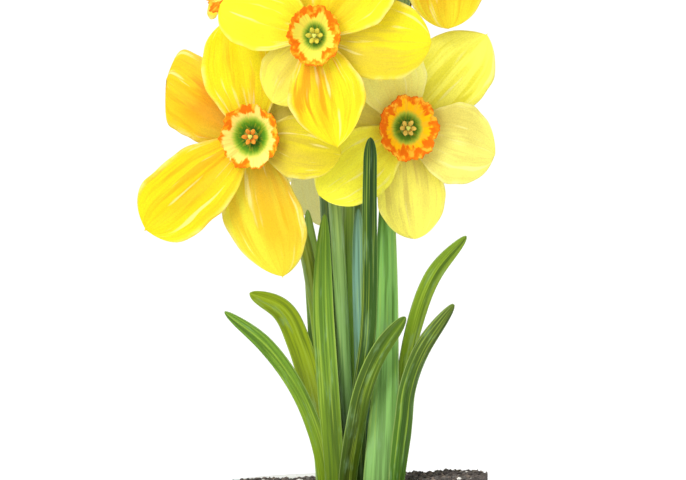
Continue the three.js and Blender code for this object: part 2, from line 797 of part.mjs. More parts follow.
for (const flower of FLOWERS) {
  const head = new THREE.Group();
  const ahead = facing(flower);
  const right = new THREE.Vector3(0, 0, 1).cross(ahead).normalize();
  const axes = new THREE.Matrix4().makeBasis(right, ahead.clone().cross(right), ahead);
  head.quaternion.setFromRotationMatrix(axes);
  head.position.copy(centreOf(flower));
  head.add(meshOf("petals_" + flower.name, bloom(flower), PETAL));
  head.add(meshOf("corona_" + flower.name, corona(flower), CORONA));
  head.add(meshOf("stamens_" + flower.name, stamens(), ANTHER));
  root.add(head);
  root.add(meshOf("stem_" + flower.name, stem(flower), STEM));
  root.add(meshOf("sheath_" + flower.name, sheath(flower), SHEATH));
}

for (const leaf of LEAVES) root.add(meshOf(leaf.name, leafBlade(leaf), LEAF));

export default root;
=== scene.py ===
"""Six daffodils growing in a glazed jar of potting soil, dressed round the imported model.

Sizes in this script are millimetres and degrees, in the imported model's frame: the origin is the
middle of the jar's foot, +Z is up, and the flowers face -Y. add_piece turns millimetres to metres.
"""

import functools

import bmesh
import bpy
import numpy as np
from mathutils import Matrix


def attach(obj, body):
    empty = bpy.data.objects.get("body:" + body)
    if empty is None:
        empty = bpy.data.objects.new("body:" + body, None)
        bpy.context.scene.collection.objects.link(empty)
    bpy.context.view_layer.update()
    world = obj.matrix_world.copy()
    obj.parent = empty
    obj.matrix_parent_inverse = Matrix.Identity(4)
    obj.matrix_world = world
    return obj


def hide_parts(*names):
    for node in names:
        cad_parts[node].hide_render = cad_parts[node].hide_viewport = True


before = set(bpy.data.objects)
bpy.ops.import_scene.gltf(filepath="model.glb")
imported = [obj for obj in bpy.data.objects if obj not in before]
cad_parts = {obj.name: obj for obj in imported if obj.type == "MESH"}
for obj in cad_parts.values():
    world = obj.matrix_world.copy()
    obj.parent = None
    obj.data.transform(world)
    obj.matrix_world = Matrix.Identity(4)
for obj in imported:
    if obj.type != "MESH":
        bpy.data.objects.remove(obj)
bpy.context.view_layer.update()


# ---- Camera, light and floor ----
# The camera stands far off with a long lens, a little above the level of the flowers. The floor
# is plain and pale, one broad soft key comes from the front left with a fill from the front right,
# and a softbox lights the glaze.

IMAGE_WIDTH = 686
MM_PER_PIXEL = 0.42
AIM = (-5.9, 0.0, 218.7)
CAMERA_DISTANCE = 2400.0
CAMERA_ELEVATION = 3.0
SENSOR = 36.0

tilt = np.radians(CAMERA_ELEVATION)
camera_data = bpy.data.cameras.new("portrait_camera")
camera_data.sensor_width = SENSOR
camera_data.lens = SENSOR * CAMERA_DISTANCE / (IMAGE_WIDTH * MM_PER_PIXEL)
camera_data.clip_end = 200.0
camera = bpy.data.objects.new("portrait_camera", camera_data)
camera.location = (np.array(AIM) + CAMERA_DISTANCE * np.array([0, -np.cos(tilt), np.sin(tilt)])) / 1000
camera.rotation_euler = (np.radians(90 - CAMERA_ELEVATION), 0, 0)
bpy.context.scene.collection.objects.link(camera)
bpy.context.scene.camera = camera
bpy.context.scene.view_settings.view_transform = "Standard"

world = bpy.data.worlds.new("pale_studio")
world.use_nodes = True
backdrop = world.node_tree.nodes["Background"].inputs
backdrop["Color"].default_value = (1.0, 1.0, 1.0, 1.0)
backdrop["Strength"].default_value = 0.7
bpy.context.scene.world = world


def add_light(name, kind, power, place, aim=(0.0, 0.0, 0.22)):
    """A lamp at a place in metres, turned to shine on the aim."""
    data = bpy.data.lights.new(name, kind)
    data.energy = power
    lamp = bpy.data.objects.new(name, data)
    lamp.location = place
    away = np.array(place) - np.array(aim)
    level = np.hypot(away[0], away[1])
    lamp.rotation_euler = (np.arctan2(level, away[2]), 0, np.arctan2(away[1], away[0]) + np.pi / 2)
    bpy.context.scene.collection.objects.link(lamp)
    return data


add_light("key_bank", "SUN", 1.95, (-1.5, -2.1, 2.9)).angle = np.radians(40)
add_light("fill_bank", "SUN", 0.5, (1.4, -2.4, 0.6)).angle = np.radians(60)
add_light("softbox", "AREA", 7.0, (-0.75, -1.25, 0.75)).size = 0.55

# In metres. The floor lies a hair below the jar's foot, so that the two don't flicker.
FLOOR_RADIUS = 45.0
FLOOR_DROP = 0.0002
FLOOR_SIDES = 96


def around(sides):
    """Even steps round a full turn, as a row of angles."""
    return np.linspace(0, 2 * np.pi, sides, endpoint=False)[None, :]


def spun(radius, height, angle):
    """Points at a radius and a height for each angle about the Z axis."""
    return np.stack([radius * np.cos(angle), radius * np.sin(angle), height + 0 * radius * angle], -1)


floor_mesh = bpy.data.meshes.new("floor")
rim = spun(FLOOR_RADIUS, -FLOOR_DROP, around(FLOOR_SIDES))[0]
floor_mesh.from_pydata(rim.tolist(), [], [list(range(FLOOR_SIDES))])
floor = bpy.data.objects.new("floor", floor_mesh)
bpy.context.scene.collection.objects.link(floor)


def srgb(code):
    """A colour written as #rrggbb, turned to linear light, with full alpha."""
    values = [int(code[i:i + 2], 16) / 255 for i in (1, 3, 5)]
    values = [v / 12.92 if v <= 0.04045 else ((v + 0.055) / 1.055) ** 2.4 for v in values]
    return np.array(values + [1.0])


def add_node(tree, kind, inputs=(), **settings):
    """A shader node with its settings. Its inputs come in order, or by name or number. Each is a value,
    a colour as #rrggbb, an output to link, or a node whose first output in use is linked."""
    node = tree.nodes.new("ShaderNode" + kind)
    for name, value in settings.items():
        setattr(node, name, value)
    for name, value in inputs.items() if isinstance(inputs, dict) else enumerate(inputs):
        if isinstance(value, bpy.types.Node):
            value = next(output for output in value.outputs if output.enabled)
        if isinstance(value, bpy.types.NodeSocket):
            tree.links.new(value, node.inputs[name])
        else:
            node.inputs[name].default_value = srgb(value) if isinstance(value, str) else value
    return node


def new_material(name, *attributes):
    """An empty node material, the function that adds a node to it, and a node for each attribute."""
    material = bpy.data.materials.new(name)
    material.use_nodes = True
    material.node_tree.nodes.clear()
    add = functools.partial(add_node, material.node_tree)
    return material, add, *(add("Attribute", attribute_name=label) for label in attributes)


# Seamless matt paper: an even off-white with the faintest cloudiness, so that it reads as a floor.
paper, add = new_material("seamless paper")
coords = add("TexCoord").outputs["Object"]
cloud = add("TexNoise", {"Vector": coords, "Scale": 1.5, "Detail": 2.0})
tone = add("Mix", {0: cloud, 6: "#fcfcfb", 7: "#f9f9f8"}, data_type="RGBA")
shader = add("BsdfPrincipled", {"Base Color": tone, "Roughness": 0.9, "Specular IOR Level": 0.1})
add("OutputMaterial", [shader])
floor_mesh.materials.append(paper)


# ---- Jar ----
# Stoneware, thrown on a wheel in one piece: a flat foot, a round body, a short neck and a rolled
# lip. White tin glaze covers it but for the foot, with one cobalt line brushed on under the lip.

JAR_OUTSIDE = [
    (0.4, 0.0), (30, 0.0), (41.5, 0.0), (43.4, 0.9), (45, 2.9), (49.5, 11), (55, 22), (62.5, 44),
    (64, 66), (61.5, 88), (58.7, 101), (57.9, 105.6), (58.8, 108.2), (60.5, 110.2), (61, 112.2),
    (60.6, 114), (59.3, 115.1),
]
JAR_INSIDE = [
    (57.6, 115), (56.3, 113.8), (55.6, 110.6), (53.6, 102), (56.8, 86), (59.8, 62), (51.5, 26), (40, 8),
    (20, 8), (0.4, 8),
]
JAR_SIDES = 160
JAR_STATIONS = 150
THROWING_PITCH = 6.5
THROWING_DEPTH = 0.16
THROWING_START, THROWING_END = 10, 104
COBALT_LINE = (106.9, 109.2)
GLAZE_LINE = 4.2


def unit(vectors):
    """Vectors scaled to a length of one."""
    return vectors / np.linalg.norm(vectors, axis=-1, keepdims=True)


def run_along(places):
    """The distance run along a row of places, from 0 at the first."""
    return np.concatenate([[0], np.cumsum(np.linalg.norm(np.diff(places, axis=0), axis=1))])


def read_off(wanted, run, rows):
    """Rows given at distances along a run, read off in between at the wanted distances."""
    return np.stack([np.interp(wanted, run, column) for column in rows.T], -1)


def smooth_curve(corners, shares):
    """A centripetal Catmull-Rom curve through the corners, at shares of its length: places and
    tangents. Between two corners it is a Hermite cubic, whose end slopes weigh the corners on each
    side by the square roots of the gaps. It is sampled finely, then read off at the shares."""
    corners = np.asarray(corners, float)
    first = 2 * corners[0] - corners[1]
    last = 2 * corners[-1] - corners[-2]
    chain = np.vstack([first, corners, last])
    gaps = np.sqrt(np.linalg.norm(np.diff(chain, axis=0), axis=1))
    u = np.linspace(0, len(corners) - 1, 60 * len(corners))
    span = np.minimum(u.astype(int), len(corners) - 2)
    w = (u - span)[:, None]
    p0, p1, p2, p3 = (chain[span + k] for k in range(4))
    d0, d1, d2 = (gaps[span + k][:, None] for k in range(3))
    m1 = d1 * ((p1 - p0) / d0 - (p2 - p0) / (d0 + d1) + (p2 - p1) / d1)
    m2 = d1 * ((p2 - p1) / d1 - (p3 - p1) / (d1 + d2) + (p3 - p2) / d2)
    dense = (
        (2 * w**3 - 3 * w**2 + 1) * p1 + (w**3 - 2 * w**2 + w) * m1
        + (3 * w**2 - 2 * w**3) * p2 + (w**3 - w**2) * m2
    )
    run = run_along(dense)
    slope = np.gradient(dense, run, axis=0)
    wanted = np.asarray(shares) * run[-1]
    return read_off(wanted, run, dense), unit(read_off(wanted, run, slope))


def ring_faces(rows, columns):
    """Faces of a grid whose columns close on themselves, and one flat face at each end of it."""
    at = np.arange(rows * columns).reshape(rows, columns)
    after = np.roll(at, -1, axis=1)
    wall = np.stack([at[:-1], after[:-1], after[1:], at[1:]], -1).reshape(-1, 4)
    return [wall, at[:1, ::-1], at[-1:]]


def for_all(value, count):
    """A colour code or one row of numbers, repeated for every point. A whole array stays as it is."""
    row = np.asarray(srgb(value) if isinstance(value, str) else value, float)
    return np.broadcast_to(row, (count, row.shape[-1]))


def add_piece(name, node, points, faces, material, tints=None, smooth=True):
    """A mesh that stands for a node: points in millimetres, faces as arrays of corners, and tints by
    name, each a colour, or three numbers, for all points or for every point."""
    mesh = bpy.data.meshes.new(name)
    points = np.asarray(points, float).reshape(-1, 3)
    corners = [face for group in faces for face in group.tolist()]
    mesh.from_pydata((points / 1000).tolist(), [], corners, shade_flat=not smooth)
    for label, values in (tints or {}).items():
        values = for_all(values, len(points))
        kind, field = ("FLOAT_COLOR", "color") if values.shape[-1] == 4 else ("FLOAT_VECTOR", "vector")
        data = mesh.attributes.new(label, kind, "POINT").data
        data.foreach_set(field, np.asarray(values, np.float32).ravel())
    mesh.update(calc_edges=True)
    mesh.validate()
    mesh.materials.append(material)
    piece = bpy.data.objects.new(name, mesh)
    bpy.context.scene.collection.objects.link(piece)
    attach(piece, "root")
    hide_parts(node)


def jar_wall():
    """The profile turned about Z. On the body the radius also follows a sine of the height, which
    rises one pitch in a turn, so that the throwing rings are one long spiral."""
    profile, _ = smooth_curve(JAR_OUTSIDE + JAR_INSIDE, np.linspace(0, 1, JAR_STATIONS))
    radius, height = profile[:, :1], np.maximum(profile[:, 1:], 0)
    angle = around(JAR_SIDES)
    body = np.clip((height - THROWING_START) / 10, 0, 1) * np.clip((THROWING_END - height) / 8, 0, 1)
    rings = THROWING_DEPTH * body * np.sin(2 * np.pi * height / THROWING_PITCH - angle)
    return spun(radius + rings, height, angle)


def product(add, *factors):
    """Factors multiplied together. A factor in brackets is a smooth step: a value, where the step
    starts and ends, and what it gives there, which is 0 and 1 unless it says otherwise."""
    result = None
    for factor in factors:
        if isinstance(factor, tuple):
            factor = add("MapRange", factor, interpolation_type="SMOOTHSTEP")
        result = factor if result is None else add("Math", [result, factor], operation="MULTIPLY")
    return result


def layer(add, skin, colour, *factors):
    """A colour laid over a skin, as much as the product of the factors says."""
    return add("Mix", {0: product(add, *factors), 6: skin, 7: colour}, data_type="RGBA")


def surface(add, skin, height, strength, distance, settings):
    """The end of a material: a skin colour on a surface with settings of its own, whose relief
    follows a height, as strongly as said and over a distance in metres."""
    relief = add("Bump", {"Height": height, "Strength": strength, "Distance": distance})
    shader = add("BsdfPrincipled", {"Base Color": skin, "Normal": relief, **settings})
    add("OutputMaterial", [shader])


# White tin-glazed stoneware: a hard glossy coat over a warm white, greyer where it ran thin, with
# a few iron specks, a soft-edged cobalt line, and bare buff clay below the glaze line.
glaze, add = new_material("tin-glazed stoneware")
coords = add("TexCoord").outputs["Object"]
cloud = add("TexNoise", {"Vector": coords, "Scale": 28.0, "Detail": 3.0})
white = layer(add, "#f6f5f0", "#e6e8e6", cloud)
speck = add("TexVoronoi", {"Vector": coords, "Scale": 130.0})
specked = layer(add, white, "#8d7a63", add("MapRange", [speck, 0.045, 0.075, 0.7, 0.0]))
# The brush wavers by about half a millimetre as the jar turns, and loads and unloads its pigment.
waver = add("TexNoise", {"Vector": coords, "Scale": 60.0, "Detail": 2.0})
shift = add("MapRange", [waver, 0.0, 1.0, -0.0007, 0.0007])
height = add("Math", [add("SeparateXYZ", [coords]).outputs["Z"], shift], operation="ADD")
low, high, bare = COBALT_LINE[0] / 1000, COBALT_LINE[1] / 1000, GLAZE_LINE / 1000
load = add("MapRange", [cloud, 0.0, 1.0, 0.55, 1.0])
lined = layer(add, specked, "#3f6fb5", (height, low - 0.0003, low + 0.0003),
              (height, high - 0.0003, high + 0.0003, 1.0, 0.0), load)
glazed = product(add, (height, bare - 0.0004, bare + 0.0004))
grit = add("TexNoise", {"Vector": coords, "Scale": 900.0, "Detail": 2.0})
clay = layer(add, "#c9ad86", "#a98a64", grit)
skin = layer(add, clay, lined, glazed)
rough = add("MapRange", [glazed, 0.0, 1.0, 0.85, 0.16])
surface(add, skin, cloud, 0.25, 0.0006, {
    "Roughness": rough, "IOR": 1.5, "Coat Weight": 0.35, "Coat Roughness": 0.06,
})

add_piece("thrown_jar", "jar", jar_wall(), ring_faces(JAR_STATIONS, JAR_SIDES), glaze)


# ---- Soil ----
# Peaty potting soil, tipped in and firmed by hand: it fills the jar to the rim, a little over it at
# the right, with loose crumbs on top and grains of white perlite among them.

SOIL_LEVEL = 120.0
SOIL_SETTLED = 4.5
SOIL_HEAP = 0.4
SOIL_SLOPE = 0.04
SOIL_TILT = 0.03
SOIL_SIDES = 3.0
SOIL_RADIUS = 53.8
SOIL_EDGE_DROP = 0.8
SOIL_EDGE_START = 46.0
SOIL_EDGE_WIDTH = 7.8
SOIL_SIDE = [
    (0.4, 8.3), (39.7, 8.3), (51.2, 26.3), (59.5, 62.3), (56.5, 86.3), (53.3, 102.3), (54.7, 107.5),
    (55, 110.6),
]
BED_RADIUS = 55.0
SOIL_RINGS = 96
SOIL_SPOKES = 260
CRUMBS = 4200
CRUMB_REACH = 54.6
CRUMB_SIZES = (0.35, 1.35)
PERLITE_SHARE = 0.035
SOIL_TINTS = ["#3d3733", "#4f4742", "#5b5651", "#6a5f55"]
PERLITE = "#e4e0d8"


def soil_height(x, y):
    """The bed's surface: where it has settled, a heap in the middle, slopes to the right and the
    front, a rise to both sides, clods as sums and products of sines, and a drop towards the wall."""
    share = np.hypot(x, y) / SOIL_RADIUS
    clods = 0.45 * (np.sin(0.21 * x - 0.3 * y + 2) + np.sin(0.17 * x + 0.24 * y))
    lumps = 0.5 * np.sin(0.83 * x + 1.1) * np.sin(0.91 * y + 0.4)
    grain = 0.22 * np.sin(2.1 * x + 0.9 * y) * np.sin(1.7 * y - 1.3 * x + 2)
    drop = SOIL_EDGE_DROP * np.clip((share * SOIL_RADIUS - SOIL_EDGE_START) / SOIL_EDGE_WIDTH, 0, 1)
    lie = SOIL_SLOPE * x - SOIL_TILT * y + SOIL_SIDES * (x / SOIL_RADIUS) ** 2
    heap = SOIL_HEAP * (1 - share**2) + lie
    return SOIL_LEVEL - SOIL_SETTLED + heap + clods + lumps + grain - drop


def soil_bed():
    """Rings up the side against the jar's wall, then rings over the surface in to the middle."""
    angle = around(SOIL_SPOKES)
    side, _ = smooth_curve(SOIL_SIDE, np.linspace(0, 1, 24))
    top = spun(np.linspace(BED_RADIUS, 0.3, SOIL_RINGS)[:, None], 0, angle)
    top[..., 2] = soil_height(top[..., 0], top[..., 1])
    return np.concatenate([spun(side[:, :1], side[:, 1:], angle), top])


def loose_crumbs():
    """Icosahedra strewn evenly over the bed, their corners pushed in or out at random, then
    squashed, turned about Z and sunk a little. Small ones are far more common than large."""
    draw = np.random.default_rng(14)
    ball = bmesh.new()
    bmesh.ops.create_icosphere(ball, subdivisions=1, radius=1.0)
    corners = np.array([v.co for v in ball.verts])
    sides = np.array([[v.index for v in f.verts] for f in ball.faces])
    ball.free()
    radius = CRUMB_REACH * np.sqrt(draw.random(CRUMBS))
    angle = 2 * np.pi * draw.random(CRUMBS)
    x, y = radius * np.cos(angle), radius * np.sin(angle)
    size = CRUMB_SIZES[0] + (CRUMB_SIZES[1] - CRUMB_SIZES[0]) * draw.random(CRUMBS) ** 3
    squash = size[:, None] * (0.75 + 0.5 * draw.random((CRUMBS, 3))) * np.array([1.0, 1.0, 0.75])
    shape = corners[None] * (1 + 0.3 * (draw.random((CRUMBS, len(corners), 1)) - 0.5)) * squash[:, None]
    spin = 2 * np.pi * draw.random((CRUMBS, 1))
    turned = np.stack([
        shape[..., 0] * np.cos(spin) - shape[..., 1] * np.sin(spin),
        shape[..., 0] * np.sin(spin) + shape[..., 1] * np.cos(spin),
        shape[..., 2],
    ], -1)
    middle = np.stack([x, y, soil_height(x, y) + 0.25 * size], -1)
    points = (turned + middle[:, None]).reshape(-1, 3)
    faces = (sides[None] + len(corners) * np.arange(CRUMBS)[:, None, None]).reshape(-1, 3)
    kinds = np.array([srgb(code) for code in SOIL_TINTS])[draw.integers(0, len(SOIL_TINTS), CRUMBS)]
    kinds[draw.random(CRUMBS) < PERLITE_SHARE] = srgb(PERLITE)
    return points, faces, np.repeat(kinds, len(corners), axis=0)


# Damp peat and bark: dull and dark, each crumb with its own brown, fine fibres as bump. The fibre
# pattern is 0.8 mm across, about twice the real one, so that it shows.
peat, add, own = new_material("peat potting soil", "soil_tint")
coords = add("TexCoord").outputs["Object"]
mottle = add("TexNoise", {"Vector": coords, "Scale": 420.0, "Detail": 5.0})
darker = add("MapRange", [mottle, 0.3, 0.7, 0.62, 1.48])
shade = add("VectorMath", {0: own, "Scale": darker}, operation="SCALE")
fibre = add("TexNoise", {"Vector": coords, "Scale": 1250.0, "Detail": 3.0})
surface(add, shade, fibre, 0.6, 0.0004, {"Roughness": 0.95})

bed = soil_bed()
add_piece(
    "firmed_soil", "soil", bed, ring_faces(*bed.shape[:2]), peat,
    {"soil_tint": SOIL_TINTS[1]},
)
points, faces, tints = loose_crumbs()
add_piece(
    "soil_crumbs", "soil", points, [faces], peat, {"soil_tint": tints}, smooth=False,
)


# ---- Petals ----
# Six to a flower, grown in two rings of three on the slim tube behind them: thin crisp tissue
# with a groove down the middle, ribs beside it and wavy margins. One mesh holds a flower's six.

PETAL_THICKNESS = 0.55
PETAL_ROOT = 1.6
WHORL_STEP = 1.1
BOSS_RADIUS = 4.0
BOSS_TOP = 2.3
PETAL_ROWS = 58
PETAL_COLUMNS = 37
TUBE_LENGTH = 18.0
TUBE_PROFILE = [
    (0.2, -18.0), (2.2, -18.0), (2.3, -14.0), (2.4, -9.0), (3.2, -4.0), (4.0, -1.5), (4.1, 0.5),
    (3.9, 2.1), (3.2, 2.3), (0.2, 2.3),
]
TUBE_ROWS, TUBE_SIDES = 40, 48
# Where along its reach a petal is widest, and how it closes past that: (1 - x^p)^q, as p and q.
PETAL_WIDEST = 0.56
TIPS = {
    "round": (2.3, 0.5), "drawn": (2.4, 0.66), "pointed": (1.9, 0.78), "blunt": (4.6, 0.55),
    "square": (12.0, 0.42),
}


def alike(own, stroke, strength, shade, *shapes):
    """Petals with the same colours: each shape is a direction, reach, width and lift."""
    return [(*shape, own, stroke, strength, 0.0, shade) for shape in shapes]


# A flower's centre, with heights above the soil, the way it faces (turn is to the right of straight
# ahead, nod is upwards), where its stem stands in the soil, a point it passes, and its corona's
# radius across and up. A petal is its direction anticlockwise from the flower's right, reach, width
# and lift forwards; its own yellow, the colour of its strokes, how strong they are, which side they
# keep to (-1 to 1, anticlockwise), and how much painted shade lies on its root and margins; and
# unless it is plain, how far its tip leans sideways, how much farther its clockwise side reaches,
# and its tip.
FLOWERS = {
    "left": {
        "centre": (-43.4, -24, 142.9), "turn": -8, "nod": 2, "root": (-10.8, -5.2),
        "via": (-23, 0, 100), "cup": (12.3, 13.4),
        "inner": [
            (98.5, 50, 33, 4, "#f2e416", "#ecc014", 0.9, 0.1, 0.1),
            # In the middle flower's shadow: its khaki strokes and root shade are painted shade.
            (-11, 38, 27, 3, "#e9dc28", "#cfb640", 0.6, -0.5, 0.6),
            (221.3, 58.8, 31.5, 5, "#f0dc0e", "#edb60c", 1.0, -0.2, 0.1, 0, 0, "blunt"),
        ],
        "outer": [
            (147.5, 44.3, 31, -4, "#e6cc14", "#e29c08", 1.1, 0.0, 0.5, 0, 6.5, "square"),
            (43, 42, 30, -5, "#f0ea60", "#d6c45c", 0.6, 0.0, 0.4),
            (-90, 58, 34, -4, "#ebe23a", "#e9bc1a", 1.1, 0.3, 0.35, 12, 3, "drawn"),
        ],
    },
    "middle": {
        "centre": (-17.2, -45, 185.1), "turn": -4, "nod": 2, "root": (-3.4, -6),
        "via": (-9, -9, 112), "cup": (10.9, 12.6),
        "inner": [
            (-78.5, 46.6, 32, 4, "#f2e61c", "#efac0c", 1.2, -0.75, 0.1, 0, 0, "pointed"),
            (48, 45, 32, 5, "#f6ea22", "#ecc81a", 0.7, 0.2, 0.1),
            (155, 41, 30, 4, "#f4ee2c", "#e6d222", 0.6, 0.3, 0.05, 5, 0, "round"),
        ],
        "outer": [
            # Its lower side lies in the bottom petal's shadow: the khaki strokes there are painted shade.
            (-3, 47.5, 34, -3, "#f9ea22", "#dcc440", 0.7, -0.7, 0.4),
            (102, 45, 32, -5, "#f6e820", "#ecc41a", 0.7, 0.0, 0.2),
            (236, 33, 26, -14, "#fcf25c", "#e0cc5c", 0.6, 0.0, 0.3),
        ],
    },
    "right": {
        "centre": (20.2, -16, 146.2), "turn": 8, "nod": 2, "root": (11.5, 1),
        "via": (13, 8, 98), "cup": (12.4, 13.7),
        "inner": [
            (-17, 39, 34, 4, "#f6f07c", "#dac95c", 0.7, 0.4, 0.6, 0, 2, "round"),
            (217, 46, 30, 2, "#fffc46", "#f2e63a", 0.5, 0.0, 0.1),
            (107, 42, 30, 3, "#fffe90", "#f6e878", 0.4, 0.0, 0.0),
        ],
        "outer": [
            (51, 52.5, 33.5, -4, "#fffb6c", "#ece434", 0.9, -0.35, 0.25, -3, 0, "drawn"),
            (-84.5, 46.5, 29, -3, "#fff86c", "#e0cf60", 0.9, -0.1, 0.3),
            (160, 36, 26, -4, "#fcf578", "#e4d670", 0.6, 0.0, 0.25),
        ],
    },
    "upper_left": {
        "centre": (-49.8, 7, 206), "turn": -66, "nod": 6, "root": (-7.6, 6.9),
        "via": (-13, 13.6, 112), "cup": (12.6, 13),
        "inner": alike("#f4e426", "#ecbc1a", 0.7, 0.2,
                       (60, 44, 32, -6), (180, 42, 30, -8), (300, 42, 30, -8)),
        "outer": alike("#f4e62c", "#ecc020", 0.7, 0.2,
                       (0, 42, 32, -14), (120, 44, 32, -14), (240, 42, 30, -15)),
    },
    "upper_right": {
        "centre": (33, -6, 232.6), "turn": 14, "nod": 8, "root": (4.6, 7.5),
        "via": (1.2, 13, 112), "cup": (12.6, 13),
        "inner": alike("#f4e62e", "#f0b616", 0.9, 0.2,
                       (-86, 45.8, 35, 3), (30, 46, 33, 4), (150, 45, 32, 4)),
        "outer": alike("#f4e62e", "#ecbe1c", 0.8, 0.2,
                       (-30, 46, 33, -4), (90, 46, 33, -4), (210, 44, 32, -5)),
    },
    "back": {
        "centre": (-14, 41, 146.4), "turn": -160, "nod": 3, "root": (-1, 2.2),
        "via": (-4, 4, 112), "cup": (12.6, 13),
        "inner": alike("#fffdcc", "#fbf4a4", 0.5, 0.05,
                       (90, 39, 30, 4), (210, 42, 30, 4), (330, 43, 31, 5)),
        "outer": alike("#fffdc6", "#fbf4a4", 0.5, 0.05,
                       (30, 42, 32, -4), (150, 43, 31, -4), (270, 44, 31, -4)),
    },
}


def facing(flower):
    """The way a flower looks, its right and its upward direction, as rows."""
    turn, nod = np.radians(flower["turn"]), np.radians(flower["nod"])
    ahead = np.array([np.sin(turn) * np.cos(nod), -np.cos(turn) * np.cos(nod), np.sin(nod)])
    right = unit(np.cross([0, 0, 1], ahead))
    return np.stack([right, np.cross(ahead, right), ahead])


def centre_of(flower):
    """A flower's centre in the jar's frame."""
    return np.array(flower["centre"], float) + [0, 0, SOIL_LEVEL]


def in_flower(flower, points):
    """Points in a flower's own frame, which looks along +Z, carried to where the flower is."""
    return centre_of(flower) + np.asarray(points) @ facing(flower)


def sheet_faces(rows, columns):
    """Faces of a closed sheet: its front grid, its back grid, and a strip round all four edges."""
    at = np.arange(rows * columns).reshape(rows, columns)
    front = np.stack([at[:-1, :-1], at[:-1, 1:], at[1:, 1:], at[1:, :-1]], -1).reshape(-1, 4)
    back = front[:, ::-1] + rows * columns
    edge = np.concatenate([at[0], at[1:, -1], at[-1, -2::-1], at[-2:0:-1, 0]])
    after = np.roll(edge, -1)
    strip = np.stack([after, edge, edge + rows * columns, after + rows * columns], -1)
    return [np.concatenate([front, back, strip])]


def two_faces(front, back, s, t, number):
    """The points of a sheet's two faces, and (s, t, number) for each of them."""
    place = np.stack([s + 0 * t, t + 0 * s, number + 0 * s * t], -1).reshape(-1, 3)
    return np.stack([front, back]).reshape(-1, 3), np.tile(place, (2, 1))


def petal_sheet(petal, whorl, number):
    """One petal's front and back, in the flower's frame, with (s, t, number) for each point.

    t runs from the root to the tip and s across. The half width opens as a quarter sine up to the
    widest place, then closes by the tip's power law. The margins lag behind the middle, one side by
    the skew more, and the tip leans sideways with t squared. Margins roll forwards on inner petals
    and back on outer ones, with s squared. Added to that are the lift as a slope, a groove between
    two ribs, a wave and a frill towards the margins, a pucker, and a tip bent back with t cubed.
    """
    direction, reach, width, lift = petal[:4]
    lean, skew, tip = petal[9:] or (0, 0, "round")
    t = 1 - (1 - np.linspace(0, 1, PETAL_ROWS)[:, None]) ** 1.5
    s = np.linspace(-1, 1, PETAL_COLUMNS)[None, :]
    closing_power, closing_root = TIPS[tip]
    opening = 0.2 + 0.8 * np.sin(np.pi / 2 * np.clip(t / PETAL_WIDEST, 0, 1))
    past = np.clip((t - PETAL_WIDEST) / (1 - PETAL_WIDEST), 0, 1)
    closing = (1 - past**closing_power) ** closing_root
    ragged = 1 + 0.018 * np.sin(13 * t + number) + 0.012 * np.sin(29 * t + 2 * number) * np.sign(s)
    half = width / 2 * opening * np.maximum(0.035, closing) * ragged
    nib = (0.9 if closing_root > 0.5 else 0.2) * np.exp(-((s / 0.16) ** 2)) * t**24
    lag = 0.12 * half * s**2 * t + skew * s * (2 * half / width) * t**3
    out = PETAL_ROOT + (reach - PETAL_ROOT) * t - lag + nib
    across = half * s + lean * t**2
    climb = np.maximum(0, out - BOSS_RADIUS) * np.tan(np.radians(lift))
    roll = whorl * 0.09 * half * s**2
    wave = 1.1 * t**2 * s * np.sin(5 * t + direction)
    groove = -0.75 * np.exp(-((s / 0.13) ** 2)) * np.sin(np.pi * np.clip(t, 0, 1) ** 0.8)
    ribs = 0.3 * np.exp(-(((np.abs(s) - 0.3) / 0.1) ** 2)) * np.sin(np.pi * t)
    frill = 0.55 * t * np.abs(s) ** 3 * np.sin(11 * t + 3 * number + 2 * np.sign(s))
    pucker = 0.16 * t * np.sin(21 * t + 5 * s + number) * np.cos(4 * s + number)
    cup = 1.3 * np.sin(np.pi * t)
    curl = -1.6 * t**3
    height = whorl * WHORL_STEP + climb + roll + wave + groove + ribs + frill + pucker + cup + curl
    theta = np.radians(direction)
    x = out * np.cos(theta) - across * np.sin(theta)
    y = out * np.sin(theta) + across * np.cos(theta)
    thick = PETAL_THICKNESS / 2 * (1 - 0.62 * s**4) * (1 - 0.5 * t**6) + 0 * t
    middle = np.stack([x, y, height], -1)
    through = np.stack([0 * thick, 0 * thick, thick], -1)
    return two_faces(middle + through, middle - through, s, t, number)


def joined(parts):
    """Parts, each with its own points, faces and tints, as one."""
    points, faces, tints, count = [], [], {}, 0
    for grid, part_faces, part_tints in parts:
        points.append(grid.reshape(-1, 3))
        faces += [f + count for f in part_faces]
        for label, value in part_tints.items():
            tints.setdefault(label, []).append(for_all(value, len(points[-1])))
        count += len(points[-1])
    return np.concatenate(points), faces, {label: np.concatenate(rows) for label, rows in tints.items()}


def bloom(flower, first_number):
    """A flower's six petals and its tube, yellow in front and green behind, as one piece."""
    parts = []
    petals = [(p, 1) for p in flower["inner"]] + [(p, -1) for p in flower["outer"]]
    for number, (petal, whorl) in enumerate(petals, first_number):
        sheet, place = petal_sheet(petal, whorl, number)
        parts.append((sheet, sheet_faces(PETAL_ROWS, PETAL_COLUMNS), {
            "petal_place": place, "petal_tint": petal[4], "petal_stroke": petal[5],
            "petal_strokes_and_shade": petal[6:9],
        }))
    profile, _ = smooth_curve(TUBE_PROFILE, np.linspace(0, 1, TUBE_ROWS))
    angle = around(TUBE_SIDES)
    ridged = profile[:, :1] * (1 + 0.04 * np.cos(6 * angle) * np.clip(-profile[:, 1:] / 4, 0, 1))
    tube = spun(ridged, profile[:, 1:], angle)
    green = np.clip((-tube[..., 2].reshape(-1, 1) - 4) / 12, 0, 1)
    parts.append((tube, ring_faces(TUBE_ROWS, TUBE_SIDES), {
        "petal_place": [0.6, 0.5, first_number],
        "petal_tint": srgb("#e9e05a") * (1 - green) + srgb("#9fb04a") * green,
        "petal_stroke": srgb("#d9cf50") * (1 - green) + srgb("#86a03c") * green,
        "petal_strokes_and_shade": [0.5, 0.0, 0.0],
    }))
    return joined(parts)


